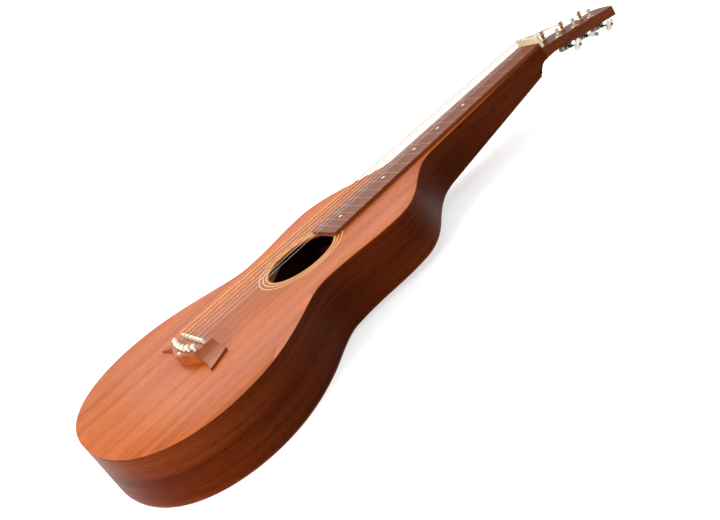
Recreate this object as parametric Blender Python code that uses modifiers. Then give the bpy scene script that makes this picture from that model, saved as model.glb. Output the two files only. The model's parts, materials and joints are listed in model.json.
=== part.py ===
"""Acoustic lap steel guitar with a hollow neck, built as separate sub-parts.

X runs across the strings (+X is the treble side), Y from the tail to the head, Z up.
The guitar lies on its back.  The origin is on the flat run of the back, straight under
the middle of the saddle.  All sizes are in metres.
"""

import math

import bmesh
import bpy
from mathutils import Matrix, Vector

# Clearances
GAP = 0.0003              # two pieces that touch
HOLE_CLEARANCE = 0.0003   # a turning shaft in its hole
STRING_CLEARANCE = 0.00028

# How far a guide runs past what it cuts
PAST_BODY = 0.3           # wider than half the body
PAST_END = 0.02
PAST_FACE = 0.01

# Steps round circles
CIRCLE_STEPS = 32
BORE_STEPS = 12
SHAFT_STEPS = 10

# Overall sizes
SCALE_LENGTH = 0.635      # saddle to the front of the nut
BODY_DEPTH = 0.0757       # back's flat run to the soundboard's top
TAIL_Y = -0.1801
LOWER_BOUT = (0.1933, -0.0401)    # half width and the place of the widest point
WAIST = (0.1139, 0.1377)
UPPER_BOUT = (0.1278, 0.2508)
NECK_ROOT = (0.0362, 0.3930)
NECK_END_HALF = 0.0235

# Fullness of each curve of the outline, at its start and at its end
TAIL_FULLNESS = (0.1500, 0.0612)
BOUT_FULLNESS = (0.0865, 0.0373)
WAIST_FULLNESS = (0.0517, 0.0459)
SHOULDER_FULLNESS = (0.0562, 0.0553)

# The back rises toward the head in two straight runs
BACK_FLAT_END_Y = 0.070
BACK_BEND_Y = 0.352
BACK_SLOPE_BODY = 0.059
BACK_SLOPE_NECK = 0.093

# Plates and walls
TOP_THICKNESS = 0.0030
BACK_THICKNESS = 0.0030
SIDE_THICKNESS = 0.0025
TAIL_BLOCK_HALF = 0.040
TAIL_BLOCK_DEPTH = 0.016

# Sound hole and its three inlaid rings
HOLE_Y = 0.1676
HOLE_RADIUS = 0.0492
RING_RADII = (0.0522, 0.05725, 0.0633)
RING_WIDTH = 0.0015
RING_DEPTH = 0.0013

# Fretboard with flush position lines
BOARD_THICKNESS = 0.0047
BOARD_END_Y = 0.2119
BOARD_HALF_NUT = 0.02245
BOARD_HALF_END = 0.03145
SLOT_COUNT = 18
SLOT_WIDTH = 0.0008
SLOT_DEPTH = 0.0012

# Nut
NUT_THICKNESS = 0.0060
NUT_HALF = 0.0225
NUT_TOP = 0.0147          # above the soundboard
NUT_FALL = 0.0008         # the top falls toward the head
NUT_SPREAD = 0.0380       # outer string to outer string

# Head
HEAD_ANGLE = math.radians(10.0)
HEAD_DROP = 0.0042        # head's face below the soundboard, at the nut
HEAD_THICKNESS = 0.0142
HEAD_LENGTH = 0.1493      # along the face, to the middle of the tip
HEAD_TIP_HALF = 0.0205
HEAD_TIP_CROWN = 0.0060
HEAD_BLOCK_LENGTH = 0.050
SCOOP_RADIUS = 0.0180
SCOOP_TOP = 0.0205        # top of the scoop below the soundboard
SCOOP_CENTRE_BACK = 0.0042   # scoop's axis before the end of the neck

# Bridge with swept wings
BRIDGE_HEIGHT = 0.0135
BRIDGE_FRONT_Y = 0.0055
BRIDGE_BLOCK_HALF = 0.0380
BRIDGE_BLOCK_BACK_Y = -0.0340
BRIDGE_WAIST_X = 0.0480
BRIDGE_WAIST_Y = -0.0220
WING_TIP_FRONT_X = 0.0665
WING_TIP_BACK = (0.0830, -0.0280)
WING_TIP_HEIGHT = 0.0028
BRIDGE_PLATE_THICKNESS = 0.0025
BRIDGE_PLATE_MARGIN = 0.0060   # how far the plate inside reaches past the bridge

# Saddle
SADDLE_THICKNESS = 0.0030
SADDLE_HALF = 0.0360
SADDLE_TOP = 0.0197       # above the soundboard
SADDLE_MIDDLE_Y = -0.0040
SADDLE_SEAT_DEPTH = 0.0050
SADDLE_SPREAD = 0.0620

# Bridge pins
PIN_SHAFT_RADIUS = 0.0025
PIN_TIP_RADIUS = 0.0019
PIN_HEAD_RADIUS = 0.00375
PIN_LENGTH = 0.0225
PIN_HOLE_RADIUS = 0.0029
PIN_BACK_Y = -0.0220
PIN_ARC = 0.0053          # how far the outer pins stand forward
PIN_FLUTE_OFFSET = 0.0019

# Strings, from string 1 (treble side) to string 6 (bass side)
STRING_RADII = (0.00018, 0.00022, 0.00033, 0.00042, 0.00054, 0.00068)
STRING_TAIL_BELOW = 0.0210
COIL_TURNS = 1.75
COIL_STEPS = 24
COIL_GAP = 0.0005
COIL_TOP = 0.0083         # above the head's face
COIL_TAIL = 0.0022

# Tuners: three a side
POST_FIRST_Y = 0.0350     # along the head's face from the nut
POST_PITCH = 0.0365
POST_HALF_SPREAD = 0.0163
POST_SPREAD_STEP = 0.00285
POST_RADIUS = 0.0032
POST_WAIST_RADIUS = 0.0025
POST_CAP_RADIUS = 0.0033
POST_TOP = 0.0118
POST_WAIST = (0.0030, 0.0094)
STRING_HOLE_RADIUS = 0.0009
BUSHING_RADIUS = 0.0050
BUSHING_HEIGHT = 0.0013
FERRULE_RADIUS = 0.0042
FERRULE_DEPTH = 0.0060

PLATE_THICKNESS = 0.0010
PLATE_X = (-0.0085, 0.0068)
PLATE_Y = (-0.0085, 0.0140)
EAR_X = 0.0053
EAR_THICKNESS = 0.0014
EAR_RADIUS = 0.0028
EAR_START_Y = 0.0058

GEAR_TEETH = 14
GEAR_WIDTH = 0.0040
WORM_LEAD = 0.0029        # axial travel of one turn
WORM_PITCH_RADIUS = 0.0025
TOOTH_OUT = 0.00075
TOOTH_IN = 0.00090
MESH_SLACK = 0.00010      # added to the distance between the two axes
GEAR_TOOTH_SHARE = 0.40   # tooth thickness as a share of the lead
WORM_TOOTH_SHARE = 0.36
WORM_AXIS_DROP = 0.0196   # below the head's face
WORM_TURNS = 2.3
WORM_STEPS = 10
SHAFT_RADIUS = 0.0015
BUTTON_MIDDLE_X = 0.0215
BUTTON_WIDTH = 0.0100
BUTTON_LENGTH = 0.0185
BUTTON_THICKNESS = 0.0068
BUTTON_ROUNDING = 0.0022
END_CAP_RADIUS = 0.0021
END_CAP_LENGTH = 0.0016
# How far each button is turned at rest, from string 1 to string 6, in degrees
BUTTON_TURNS = (39.0, 150.0, 42.0, 75.0, 20.0, 118.0)

# Braces inside the body
BRACE_WIDTH = 0.0070
BRACE_HEIGHT = 0.0110
BACK_BRACE_WIDTH = 0.0080
BACK_BRACE_HEIGHT = 0.0120
X_BRACE_CROSS_Y = 0.078
X_BRACE_ANGLE = math.radians(50.0)
X_BRACE_LEG = 0.150
UPPER_BRACE_Y = 0.2300
BACK_BRACE_PLACES = (-0.020, 0.245)

# Worked out from the above
TOP_Z = BODY_DEPTH
NECK_END_Y = SCALE_LENGTH - GAP
NUT_BACK_Y = SCALE_LENGTH + NUT_THICKNESS
HEAD_ORIGIN = Vector((0.0, NUT_BACK_Y + GAP, TOP_Z - HEAD_DROP))
HEAD_MATRIX = Matrix.Translation(HEAD_ORIGIN) @ Matrix.Rotation(-HEAD_ANGLE, 4, "X")
GEAR_PITCH_RADIUS = GEAR_TEETH * WORM_LEAD / math.tau
MESH_DISTANCE = GEAR_PITCH_RADIUS + WORM_PITCH_RADIUS + MESH_SLACK
SCOOP_Y = NECK_END_Y - SCOOP_CENTRE_BACK
PLANE_TURNS = {
    "XY": (0.0, 0.0, 0.0),
    "YZ": (math.pi / 2, 0.0, math.pi / 2),
    "XZ": (math.pi / 2, 0.0, 0.0),
}


# Scene, collections and materials

for old in list(bpy.data.objects):
    bpy.data.objects.remove(old, do_unlink=True)

PARTS = bpy.data.collections.new("lap_steel_guitar")
CUTTERS = bpy.data.collections.new("cutters")
bpy.context.scene.collection.children.link(PARTS)
bpy.context.scene.collection.children.link(CUTTERS)


def make_material(name, colour, roughness, metallic=0.0):
    """One Principled material."""
    material = bpy.data.materials.new(name)
    material.use_nodes = True
    shader = material.node_tree.nodes["Principled BSDF"]
    shader.inputs["Base Color"].default_value = (*colour, 1.0)
    shader.inputs["Roughness"].default_value = roughness
    shader.inputs["Metallic"].default_value = metallic
    return material


MATERIALS = {
    "top_wood": make_material("top_wood", (0.42, 0.15, 0.07), 0.38),
    "body_wood": make_material("body_wood", (0.20, 0.055, 0.025), 0.36),
    "board_wood": make_material("board_wood", (0.16, 0.055, 0.032), 0.45),
    "bridge_wood": make_material("bridge_wood", (0.38, 0.13, 0.06), 0.42),
    "inner_wood": make_material("inner_wood", (0.48, 0.27, 0.13), 0.60),
    "maple_line": make_material("maple_line", (0.83, 0.62, 0.25), 0.40),
    "bone": make_material("bone", (0.86, 0.80, 0.66), 0.35),
    "button_cream": make_material("button_cream", (0.85, 0.82, 0.68), 0.30),
    "bronze_string": make_material("bronze_string", (0.72, 0.40, 0.20), 0.32, 1.0),
    "steel_string": make_material("steel_string", (0.72, 0.72, 0.70), 0.25, 1.0),
    "brass": make_material("brass", (0.78, 0.66, 0.40), 0.28, 1.0),
    "aged_metal": make_material("aged_metal", (0.20, 0.17, 0.13), 0.42, 1.0),
    "steel": make_material("steel", (0.55, 0.54, 0.52), 0.32, 1.0),
}


def dress(item, slot):
    """Give an object its material."""
    item.data.materials.clear()
    item.data.materials.append(MATERIALS[slot])
    return item


def hide_cutter(item):
    """A cutter is only a guide."""
    item.hide_render = True
    item.display_type = "WIRE"
    return item


# Modelling helpers

def weld(mesh, distance=1e-6):
    """Join loose seams and turn every face outward."""
    work = bmesh.new()
    work.from_mesh(mesh)
    bmesh.ops.remove_doubles(work, verts=work.verts, dist=distance)
    bmesh.ops.recalc_face_normals(work, faces=work.faces)
    work.to_mesh(mesh)
    work.free()


def curve_to_mesh(item):
    """Replace a curve or a modified object by its evaluated mesh, in the same place."""
    bpy.context.view_layer.update()
    graph = bpy.context.evaluated_depsgraph_get()
    mesh = bpy.data.meshes.new_from_object(item.evaluated_get(graph))
    weld(mesh)
    name = item.name
    home = item.users_collection[0]
    place = item.matrix_world.copy()
    bpy.data.objects.remove(item, do_unlink=True)
    solid = bpy.data.objects.new(name, mesh)
    mesh.name = name
    solid.matrix_world = place
    home.objects.link(solid)
    return solid


def prism(name, outline, plane, start, end, home=None):
    """A flat outline in a plane, filled and given thickness from start to end."""
    curve = bpy.data.curves.new(name, "CURVE")
    curve.dimensions = "2D"
    curve.fill_mode = "BOTH"
    curve.extrude = (end - start) / 2
    spline = curve.splines.new("POLY")
    spline.points.add(len(outline) - 1)
    for point, (u, v) in zip(spline.points, outline):
        point.co = (u, v, 0.0, 1.0)
    spline.use_cyclic_u = True
    item = bpy.data.objects.new(name, curve)
    item.rotation_euler = PLANE_TURNS[plane]
    middle = (start + end) / 2
    axis = {"XY": 2, "YZ": 0, "XZ": 1}[plane]
    item.location[axis] = middle
    (home or PARTS).objects.link(item)
    return curve_to_mesh(item)


def turned(name, profile, steps, home=None, closed=False):
    """A turned solid round Z.  The profile runs down its outer side."""
    mesh = bpy.data.meshes.new(name)
    edges = [(i, i + 1) for i in range(len(profile) - 1)]
    if closed:
        edges.append((len(profile) - 1, 0))
    mesh.from_pydata([(r, 0.0, z) for r, z in profile], edges, [])
    item = bpy.data.objects.new(name, mesh)
    (home or PARTS).objects.link(item)
    screw = item.modifiers.new("turn", "SCREW")
    screw.axis = "Z"
    screw.steps = steps
    screw.render_steps = steps
    screw.use_merge_vertices = True
    screw.merge_threshold = 0.00001
    return item


def cylinder(name, radius, start, end, steps=16, home=None):
    """A plain round bar along Z."""
    mesh = bpy.data.meshes.new(name)
    work = bmesh.new()
    bmesh.ops.create_cone(
        work, cap_ends=True, segments=steps, radius1=radius, radius2=radius, depth=end - start
    )
    bmesh.ops.translate(work, verts=work.verts, vec=(0.0, 0.0, (start + end) / 2))
    work.to_mesh(mesh)
    work.free()
    item = bpy.data.objects.new(name, mesh)
    (home or PARTS).objects.link(item)
    return item


def box(name, low, high, home=None):
    """A plain box between two corners."""
    mesh = bpy.data.meshes.new(name)
    work = bmesh.new()
    bmesh.ops.create_cube(work, size=1.0)
    size = Vector(high) - Vector(low)
    bmesh.ops.scale(work, vec=size, verts=work.verts)
    bmesh.ops.translate(work, vec=(Vector(high) + Vector(low)) / 2, verts=work.verts)
    work.to_mesh(mesh)
    work.free()
    item = bpy.data.objects.new(name, mesh)
    (home or PARTS).objects.link(item)
    return item


def tube(name, points, radius, resolution=1, home=None):
    """A round wire along a list of points."""
    curve = bpy.data.curves.new(name, "CURVE")
    curve.dimensions = "3D"
    curve.bevel_depth = radius
    curve.bevel_resolution = resolution
    curve.use_fill_caps = True
    spline = curve.splines.new("POLY")
    spline.points.add(len(points) - 1)
    for point, place in zip(spline.points, points):
        point.co = (*place, 1.0)
    item = bpy.data.objects.new(name, curve)
    (home or PARTS).objects.link(item)
    return item


def boolean(target, other, operation="DIFFERENCE"):
    """Cut, join or trim one object by another, which becomes a guide."""
    modifier = target.modifiers.new(other.name, "BOOLEAN")
    modifier.operation = operation
    modifier.solver = "EXACT"
    modifier.object = other
    hide_cutter(other)
    return target


def smooth(item, angle=35.0):
    """Shade a round piece smooth."""
    item.data.shade_smooth()
    item.data.set_sharp_from_angle(angle=math.radians(angle))
    return item


# Outline of the body

def bezier(start, pull_start, pull_end, end, steps):
    """Points along one cubic curve, without its last one."""
    points = []
    for i in range(steps):
        t = i / steps
        s = 1.0 - t
        weights = (s * s * s, 3 * s * s * t, 3 * s * t * t, t * t * t)
        corners = (start, pull_start, pull_end, end)
        points.append(tuple(sum(w * c[axis] for w, c in zip(weights, corners)) for axis in (0, 1)))
    return points


def neck_half(y, inset=0.0):
    """Half the neck's width between its root and its end."""
    run = (y - NECK_ROOT[1]) / (NECK_END_Y - NECK_ROOT[1])
    return NECK_ROOT[0] + (NECK_END_HALF - NECK_ROOT[0]) * run - inset


def half_outline():
    """Treble half of the body's outline, from the tail's middle to the end of the neck."""
    tail = (0.0, TAIL_Y)
    neck_end = (NECK_END_HALF, NECK_END_Y)
    taper = Vector((neck_end[0] - NECK_ROOT[0], neck_end[1] - NECK_ROOT[1])).normalized()
    root_pull = Vector(NECK_ROOT) - taper * SHOULDER_FULLNESS[1]
    points = bezier(tail, (TAIL_FULLNESS[0], TAIL_Y),
                    (LOWER_BOUT[0], LOWER_BOUT[1] - TAIL_FULLNESS[1]), LOWER_BOUT, 11)
    points += bezier(LOWER_BOUT, (LOWER_BOUT[0], LOWER_BOUT[1] + BOUT_FULLNESS[0]),
                     (WAIST[0], WAIST[1] - BOUT_FULLNESS[1]), WAIST, 9)
    points += bezier(WAIST, (WAIST[0], WAIST[1] + WAIST_FULLNESS[0]),
                     (UPPER_BOUT[0], UPPER_BOUT[1] - WAIST_FULLNESS[1]), UPPER_BOUT, 7)
    points += bezier(UPPER_BOUT, (UPPER_BOUT[0], UPPER_BOUT[1] + SHOULDER_FULLNESS[0]),
                     root_pull, NECK_ROOT, 10)
    points += [NECK_ROOT, neck_end]
    return points


def inset_outline(distance):
    """The same half outline, moved inward square to itself."""
    points = half_outline()
    moved = []
    for i, point in enumerate(points):
        before = Vector(points[max(i - 1, 0)])
        after = Vector(points[min(i + 1, len(points) - 1)])
        if i == 0:
            before = Vector((-after.x, after.y))
        along = (after - before).normalized()
        moved.append((point[0] - along.y * distance, point[1] + along.x * distance))
    moved[0] = (0.0, TAIL_Y + distance)
    moved[-1] = (neck_half(NECK_END_Y, distance), NECK_END_Y)
    return moved


def both_halves(points):
    """Close a half outline by its mirror image."""
    mirrored = [(-x, y) for x, y in reversed(points) if x > 1e-9]
    return points + mirrored


def back_z(y):
    """Height of the back's outer face."""
    rise = BACK_SLOPE_BODY * max(0.0, min(y, BACK_BEND_Y) - BACK_FLAT_END_Y)
    rise += BACK_SLOPE_NECK * max(0.0, y - BACK_BEND_Y)
    return rise


def back_line(lift, start, end):
    """The back's outer face seen from the side, lifted by a thickness."""
    stations = [start, BACK_FLAT_END_Y, BACK_BEND_Y, end]
    return [(y, back_z(y) + lift) for y in stations if start <= y <= end]


# Body

def make_scoop():
    """Guide for the round hollow under the end of the neck."""
    cutter = cylinder("scoop_cut", SCOOP_RADIUS, -0.06, 0.06, 64, CUTTERS)
    cutter.rotation_euler = (0.0, math.pi / 2, 0.0)
    cutter.location = (0.0, SCOOP_Y, TOP_Z - SCOOP_TOP - SCOOP_RADIUS)
    return cutter


def make_soundboard():
    """Top plate with the sound hole, the ring channels and the pin holes."""
    board = prism("soundboard", both_halves(half_outline()), "XY", TOP_Z - TOP_THICKNESS, TOP_Z)
    hole = cylinder("sound_hole_cut", HOLE_RADIUS, -0.01, 0.01, CIRCLE_STEPS, CUTTERS)
    hole.location = (0.0, HOLE_Y, TOP_Z)
    boolean(board, hole)
    for number, radius in enumerate(RING_RADII, start=1):
        channel = turned(
            f"channel_cut_{number}",
            ring_profile(radius, RING_WIDTH + 2 * GAP, RING_DEPTH + GAP, 0.001),
            CIRCLE_STEPS, CUTTERS, closed=True,
        )
        channel.location = (0.0, HOLE_Y, TOP_Z)
        boolean(board, channel)
    for number in range(1, 7):
        boolean(board, pin_hole(f"top_pin_cut_{number}", number))
    dress(board, "top_wood")


def ring_profile(radius, width, depth, above=0.0):
    """Section of a flat ring, outer side first."""
    outer = radius + width / 2
    inner = radius - width / 2
    return [(outer, above), (outer, -depth), (inner, -depth), (inner, above)]


def make_rings():
    """Three inlaid rings round the sound hole."""
    for number, radius in enumerate(RING_RADII, start=1):
        ring = turned(f"rosette_ring_{number}", ring_profile(radius, RING_WIDTH, RING_DEPTH),
                      CIRCLE_STEPS, closed=True)
        ring.location = (0.0, HOLE_Y, TOP_Z)
        dress(ring, "maple_line")


def make_back(scoop):
    """Back plate, bent to three straight runs."""
    plate = prism("back_plate", both_halves(half_outline()), "XY", -PAST_FACE, TOP_Z)
    start, end = TAIL_Y - PAST_END, NECK_END_Y + PAST_END
    band = back_line(0.0, start, end) + list(reversed(back_line(BACK_THICKNESS, start, end)))
    slab = prism("back_slab", band, "YZ", -PAST_BODY, PAST_BODY, CUTTERS)
    boolean(plate, slab, "INTERSECT")
    boolean(plate, scoop)
    dress(plate, "body_wood")


def make_sides(scoop):
    """Two bent sides between the top and the back, meeting at the tail."""
    outer = half_outline()
    inner = inset_outline(SIDE_THICKNESS)
    half_gap = GAP / 2
    start, end = TAIL_Y - PAST_END, NECK_END_Y + PAST_END
    band = back_line(BACK_THICKNESS + GAP, start, end)
    band += [(end, TOP_Z - TOP_THICKNESS - GAP), (start, TOP_Z - TOP_THICKNESS - GAP)]
    slab = prism("side_slab", band, "YZ", -PAST_BODY, PAST_BODY, CUTTERS)
    for name, turn in (("side_treble", 1), ("side_bass", -1)):
        strip = [(half_gap, outer[0][1])] + outer[1:] + inner[:0:-1] + [(half_gap, inner[0][1])]
        if turn < 0:
            strip = [(-x, y) for x, y in reversed(strip)]
        side = prism(name, strip, "XY", -PAST_FACE, TOP_Z)
        boolean(side, slab, "INTERSECT")
        boolean(side, scoop)
        dress(side, "body_wood")


def inside_slab(name):
    """Guide for the space between the back and the soundboard."""
    start, end = TAIL_Y - PAST_END, NECK_END_Y
    band = back_line(BACK_THICKNESS + GAP, start, end)
    band += [(end, TOP_Z - TOP_THICKNESS - GAP), (start, TOP_Z - TOP_THICKNESS - GAP)]
    return prism(name, band, "YZ", -PAST_BODY, PAST_BODY, CUTTERS)


def make_tail_block():
    """Block that joins the two sides at the tail."""
    inner = [p for p in inset_outline(SIDE_THICKNESS + GAP) if p[1] < 0.0]
    rim = [p for p in inner if p[0] < TAIL_BLOCK_HALF]
    after = inner[len(rim)]
    share = (TAIL_BLOCK_HALF - rim[-1][0]) / (after[0] - rim[-1][0])
    rim.append((TAIL_BLOCK_HALF, rim[-1][1] + share * (after[1] - rim[-1][1])))
    front = TAIL_Y + SIDE_THICKNESS + TAIL_BLOCK_DEPTH
    block = prism("tail_block", both_halves(rim + [(TAIL_BLOCK_HALF, front)]), "XY", -PAST_FACE, TOP_Z)
    boolean(block, inside_slab("tail_block_slab"), "INTERSECT")
    dress(block, "inner_wood")


def scoop_arc(lift):
    """The scoop seen from the side, from its top round to a line above the back."""
    middle_z = TOP_Z - SCOOP_TOP - SCOOP_RADIUS
    points = []
    for i in range(17):
        angle = math.pi / 2 + math.pi / 2 * i / 16
        y = SCOOP_Y + SCOOP_RADIUS * math.cos(angle)
        z = middle_z + SCOOP_RADIUS * math.sin(angle)
        clear = z - back_z(y) - lift
        if clear < 0.0:
            share = last_clear / (last_clear - clear)
            last_y, last_z = points[-1]
            points.append((last_y + (y - last_y) * share, last_z + (z - last_z) * share))
            break
        points.append((y, z))
        last_clear = clear
    return points


def make_head():
    """Head and the block inside the end of the neck, one piece of wood."""
    block_start = NECK_END_Y - HEAD_BLOCK_LENGTH
    inset = SIDE_THICKNESS + GAP
    tip_y = NUT_BACK_Y + HEAD_LENGTH * math.cos(HEAD_ANGLE)
    plan = [(neck_half(block_start, inset), block_start), (neck_half(NECK_END_Y, inset), NECK_END_Y),
            (neck_half(NECK_END_Y, inset), NECK_END_Y + GAP), (NECK_END_HALF, NECK_END_Y + GAP)]
    shoulder_y = tip_y - HEAD_TIP_CROWN
    crown_steps = 8
    for i in range(crown_steps):
        angle = math.pi / 2 * i / crown_steps
        plan.append((HEAD_TIP_HALF * math.cos(angle) ** 0.6, shoulder_y + HEAD_TIP_CROWN * math.sin(angle)))
    plan.append((0.0, tip_y))
    head = prism("head", both_halves(plan), "XY", TOP_Z - 0.12, TOP_Z)

    under_top = TOP_Z - TOP_THICKNESS - GAP
    seat = TOP_Z - HEAD_DROP
    face_end = HEAD_MATRIX @ Vector((0.0, HEAD_LENGTH + PAST_END, 0.0))
    under_end = HEAD_MATRIX @ Vector((0.0, HEAD_LENGTH + PAST_END, -HEAD_THICKNESS))
    under_start = HEAD_MATRIX @ Vector((0.0, 0.0, -HEAD_THICKNESS))
    scoop_z = TOP_Z - SCOOP_TOP
    run = (under_start.z - scoop_z) / math.tan(HEAD_ANGLE)
    seat_y = NECK_END_Y - GAP
    view_start = block_start - PAST_FACE
    side_view = [(view_start, under_top), (seat_y, under_top), (seat_y, seat),
                 (HEAD_ORIGIN.y, seat), (face_end.y, face_end.z), (under_end.y, under_end.z),
                 (under_start.y + run, scoop_z)]
    lift = BACK_THICKNESS + GAP
    side_view += scoop_arc(lift) + [(view_start, back_z(view_start) + lift)]
    slab = prism("head_slab", side_view, "YZ", -0.1, 0.1, CUTTERS)
    boolean(head, slab, "INTERSECT")
    for number in range(1, 7):
        hole = cylinder(f"post_hole_cut_{number}", FERRULE_RADIUS + GAP, -0.03, 0.01, BORE_STEPS, CUTTERS)
        hole.matrix_world = tuner_matrix(number)
        boolean(head, hole)
    dress(head, "body_wood")


def make_fretboard():
    """Fretboard with a shallow slot for each position line."""
    end_y = SCALE_LENGTH - GAP
    plan = [(BOARD_HALF_END, BOARD_END_Y), (BOARD_HALF_NUT, end_y),
            (-BOARD_HALF_NUT, end_y), (-BOARD_HALF_END, BOARD_END_Y)]
    low = TOP_Z + GAP
    board = prism("fretboard", plan, "XY", low, low + BOARD_THICKNESS)
    for number in range(1, SLOT_COUNT + 1):
        y = SCALE_LENGTH * 2.0 ** (-number / 12)
        slot = box(f"slot_cut_{number}", (-0.05, y - SLOT_WIDTH / 2, low + BOARD_THICKNESS - SLOT_DEPTH),
                   (0.05, y + SLOT_WIDTH / 2, low + BOARD_THICKNESS + 0.001), CUTTERS)
        boolean(board, slot)
    dress(board, "board_wood")


def make_braces():
    """Braces under the soundboard and on the back, and the plate under the bridge."""
    under_top = TOP_Z - TOP_THICKNESS - GAP
    plate = prism("bridge_plate", bridge_outline(BRIDGE_PLATE_MARGIN), "XY",
                  under_top - BRIDGE_PLATE_THICKNESS, under_top)
    for number in range(1, 7):
        boolean(plate, pin_hole(f"plate_pin_cut_{number}", number))
    dress(plate, "inner_wood")

    low = under_top - BRACE_HEIGHT
    leg = box("x_brace", (-X_BRACE_LEG, -BRACE_WIDTH / 2, low), (X_BRACE_LEG, BRACE_WIDTH / 2, under_top))
    leg.location.y = X_BRACE_CROSS_Y
    leg.rotation_euler.z = X_BRACE_ANGLE
    other = box("x_brace_leg", (-X_BRACE_LEG, -BRACE_WIDTH / 2, low),
                (X_BRACE_LEG, BRACE_WIDTH / 2, under_top), CUTTERS)
    other.location.y = X_BRACE_CROSS_Y
    other.rotation_euler.z = -X_BRACE_ANGLE
    boolean(leg, other, "UNION")
    room = prism("x_brace_room", both_halves(inset_outline(SIDE_THICKNESS + GAP)), "XY",
                 low - PAST_FACE, TOP_Z, CUTTERS)
    boolean(leg, room, "INTERSECT")
    clearance = prism("x_brace_clear", bridge_outline(BRIDGE_PLATE_MARGIN + GAP), "XY",
                      under_top - BRIDGE_PLATE_THICKNESS - GAP, TOP_Z, CUTTERS)
    boolean(leg, clearance)
    dress(leg, "inner_wood")

    upper = box("upper_brace", (-PAST_BODY, UPPER_BRACE_Y - BRACE_WIDTH / 2, low),
                (PAST_BODY, UPPER_BRACE_Y + BRACE_WIDTH / 2, under_top))
    upper_room = prism("upper_brace_room", both_halves(inset_outline(SIDE_THICKNESS + GAP)), "XY",
                       low - PAST_FACE, TOP_Z, CUTTERS)
    boolean(upper, upper_room, "INTERSECT")
    dress(upper, "inner_wood")

    for name, y in zip(("back_brace_low", "back_brace_high"), BACK_BRACE_PLACES):
        y_low, y_high = y - BACK_BRACE_WIDTH / 2, y + BACK_BRACE_WIDTH / 2
        lift = BACK_THICKNESS + GAP
        view = [(y_low, back_z(y_low) + lift), (y_high, back_z(y_high) + lift),
                (y_high, back_z(y) + lift + BACK_BRACE_HEIGHT),
                (y_low, back_z(y) + lift + BACK_BRACE_HEIGHT)]
        bar = prism(name, view, "YZ", -PAST_BODY, PAST_BODY)
        room = prism(f"{name}_room", both_halves(inset_outline(SIDE_THICKNESS + GAP)), "XY",
                     -PAST_FACE, TOP_Z, CUTTERS)
        boolean(bar, room, "INTERSECT")
        dress(bar, "inner_wood")


# Bridge, saddle and pins

def string_x(number, spread):
    """Place of a string across the neck; string 1 is on the treble side."""
    return spread * (0.5 - (number - 1) / 5)


def pin_place(number):
    """Foot of a bridge pin, on the bridge's top."""
    x = string_x(number, SADDLE_SPREAD)
    y = PIN_BACK_Y + PIN_ARC * (2 * x / SADDLE_SPREAD) ** 2
    return Vector((x, y, TOP_Z + BRIDGE_HEIGHT))


def pin_hole(name, number):
    """Guide for one pin hole, through bridge, soundboard and plate."""
    hole = cylinder(name, PIN_HOLE_RADIUS, -0.04, 0.01, BORE_STEPS, CUTTERS)
    hole.location = pin_place(number)
    return hole


def bridge_outline(grow=0.0):
    """Plan of the bridge: straight front, bulging back and wings swept to the tail."""
    waist = (BRIDGE_WAIST_X, BRIDGE_WAIST_Y - grow)
    tip = (WING_TIP_BACK[0] + grow, WING_TIP_BACK[1] - grow)
    bulge = BRIDGE_BLOCK_BACK_Y - BRIDGE_WAIST_Y
    points = []
    for i in range(9):
        x = waist[0] * i / 8
        y = waist[1] + bulge * (0.5 + 0.5 * math.cos(math.pi * i / 8))
        points.append((x, y))
    for i in range(1, 5):
        share = i / 4
        points.append((waist[0] + (tip[0] - waist[0]) * share,
                       waist[1] + (tip[1] - waist[1]) * share ** 2))
    points.append((WING_TIP_FRONT_X + grow, BRIDGE_FRONT_Y + grow))
    points.append((0.0, BRIDGE_FRONT_Y + grow))
    return both_halves(points)


def bridge_section():
    """Height of the bridge across the strings: flat block and hollowed wings."""
    low = TOP_Z + GAP
    half = [(BRIDGE_BLOCK_HALF, TOP_Z + BRIDGE_HEIGHT)]
    steps = 9
    reach = WING_TIP_BACK[0] - BRIDGE_BLOCK_HALF
    fall = BRIDGE_HEIGHT - WING_TIP_HEIGHT
    for i in range(1, steps + 1):
        share = i / steps
        height = WING_TIP_HEIGHT + fall * (1.0 - share) ** 2.2
        half.append((BRIDGE_BLOCK_HALF + reach * share, TOP_Z + height))
    half.append((half[-1][0] + 0.005, half[-1][1]))
    half.append((half[-1][0], low))
    left = [(-x, z) for x, z in reversed(half)]
    return half + left


def make_bridge():
    """Carved bridge with the saddle's slot and the pin holes."""
    bridge = prism("bridge", bridge_outline(), "XY", TOP_Z, TOP_Z + BRIDGE_HEIGHT + 0.01)
    section = prism("bridge_section_cut", bridge_section(), "XZ", -0.06, 0.03, CUTTERS)
    boolean(bridge, section, "INTERSECT")
    half = SADDLE_THICKNESS / 2 + GAP
    slot = box("saddle_slot_cut",
               (-SADDLE_HALF - GAP, SADDLE_MIDDLE_Y - half, TOP_Z + BRIDGE_HEIGHT - SADDLE_SEAT_DEPTH),
               (SADDLE_HALF + GAP, SADDLE_MIDDLE_Y + half, TOP_Z + BRIDGE_HEIGHT + 0.01), CUTTERS)
    boolean(bridge, slot)
    for number in range(1, 7):
        boolean(bridge, pin_hole(f"bridge_pin_cut_{number}", number))
    dress(bridge, "bridge_wood")


def make_saddle():
    """Bone saddle with a crowned top."""
    half = SADDLE_THICKNESS / 2
    low = TOP_Z + BRIDGE_HEIGHT - SADDLE_SEAT_DEPTH + GAP
    top = TOP_Z + SADDLE_TOP
    back, front = SADDLE_MIDDLE_Y - half, SADDLE_MIDDLE_Y + half
    view = [(back, low), (front, low), (front, top - 0.0009), (front - 0.0006, top - 0.0002),
            (SADDLE_MIDDLE_Y + 0.0002, top), (back + 0.0009, top - 0.0003), (back, top - 0.0012)]
    saddle = prism("saddle", view, "YZ", -SADDLE_HALF, SADDLE_HALF)
    dress(saddle, "bone")


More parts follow.
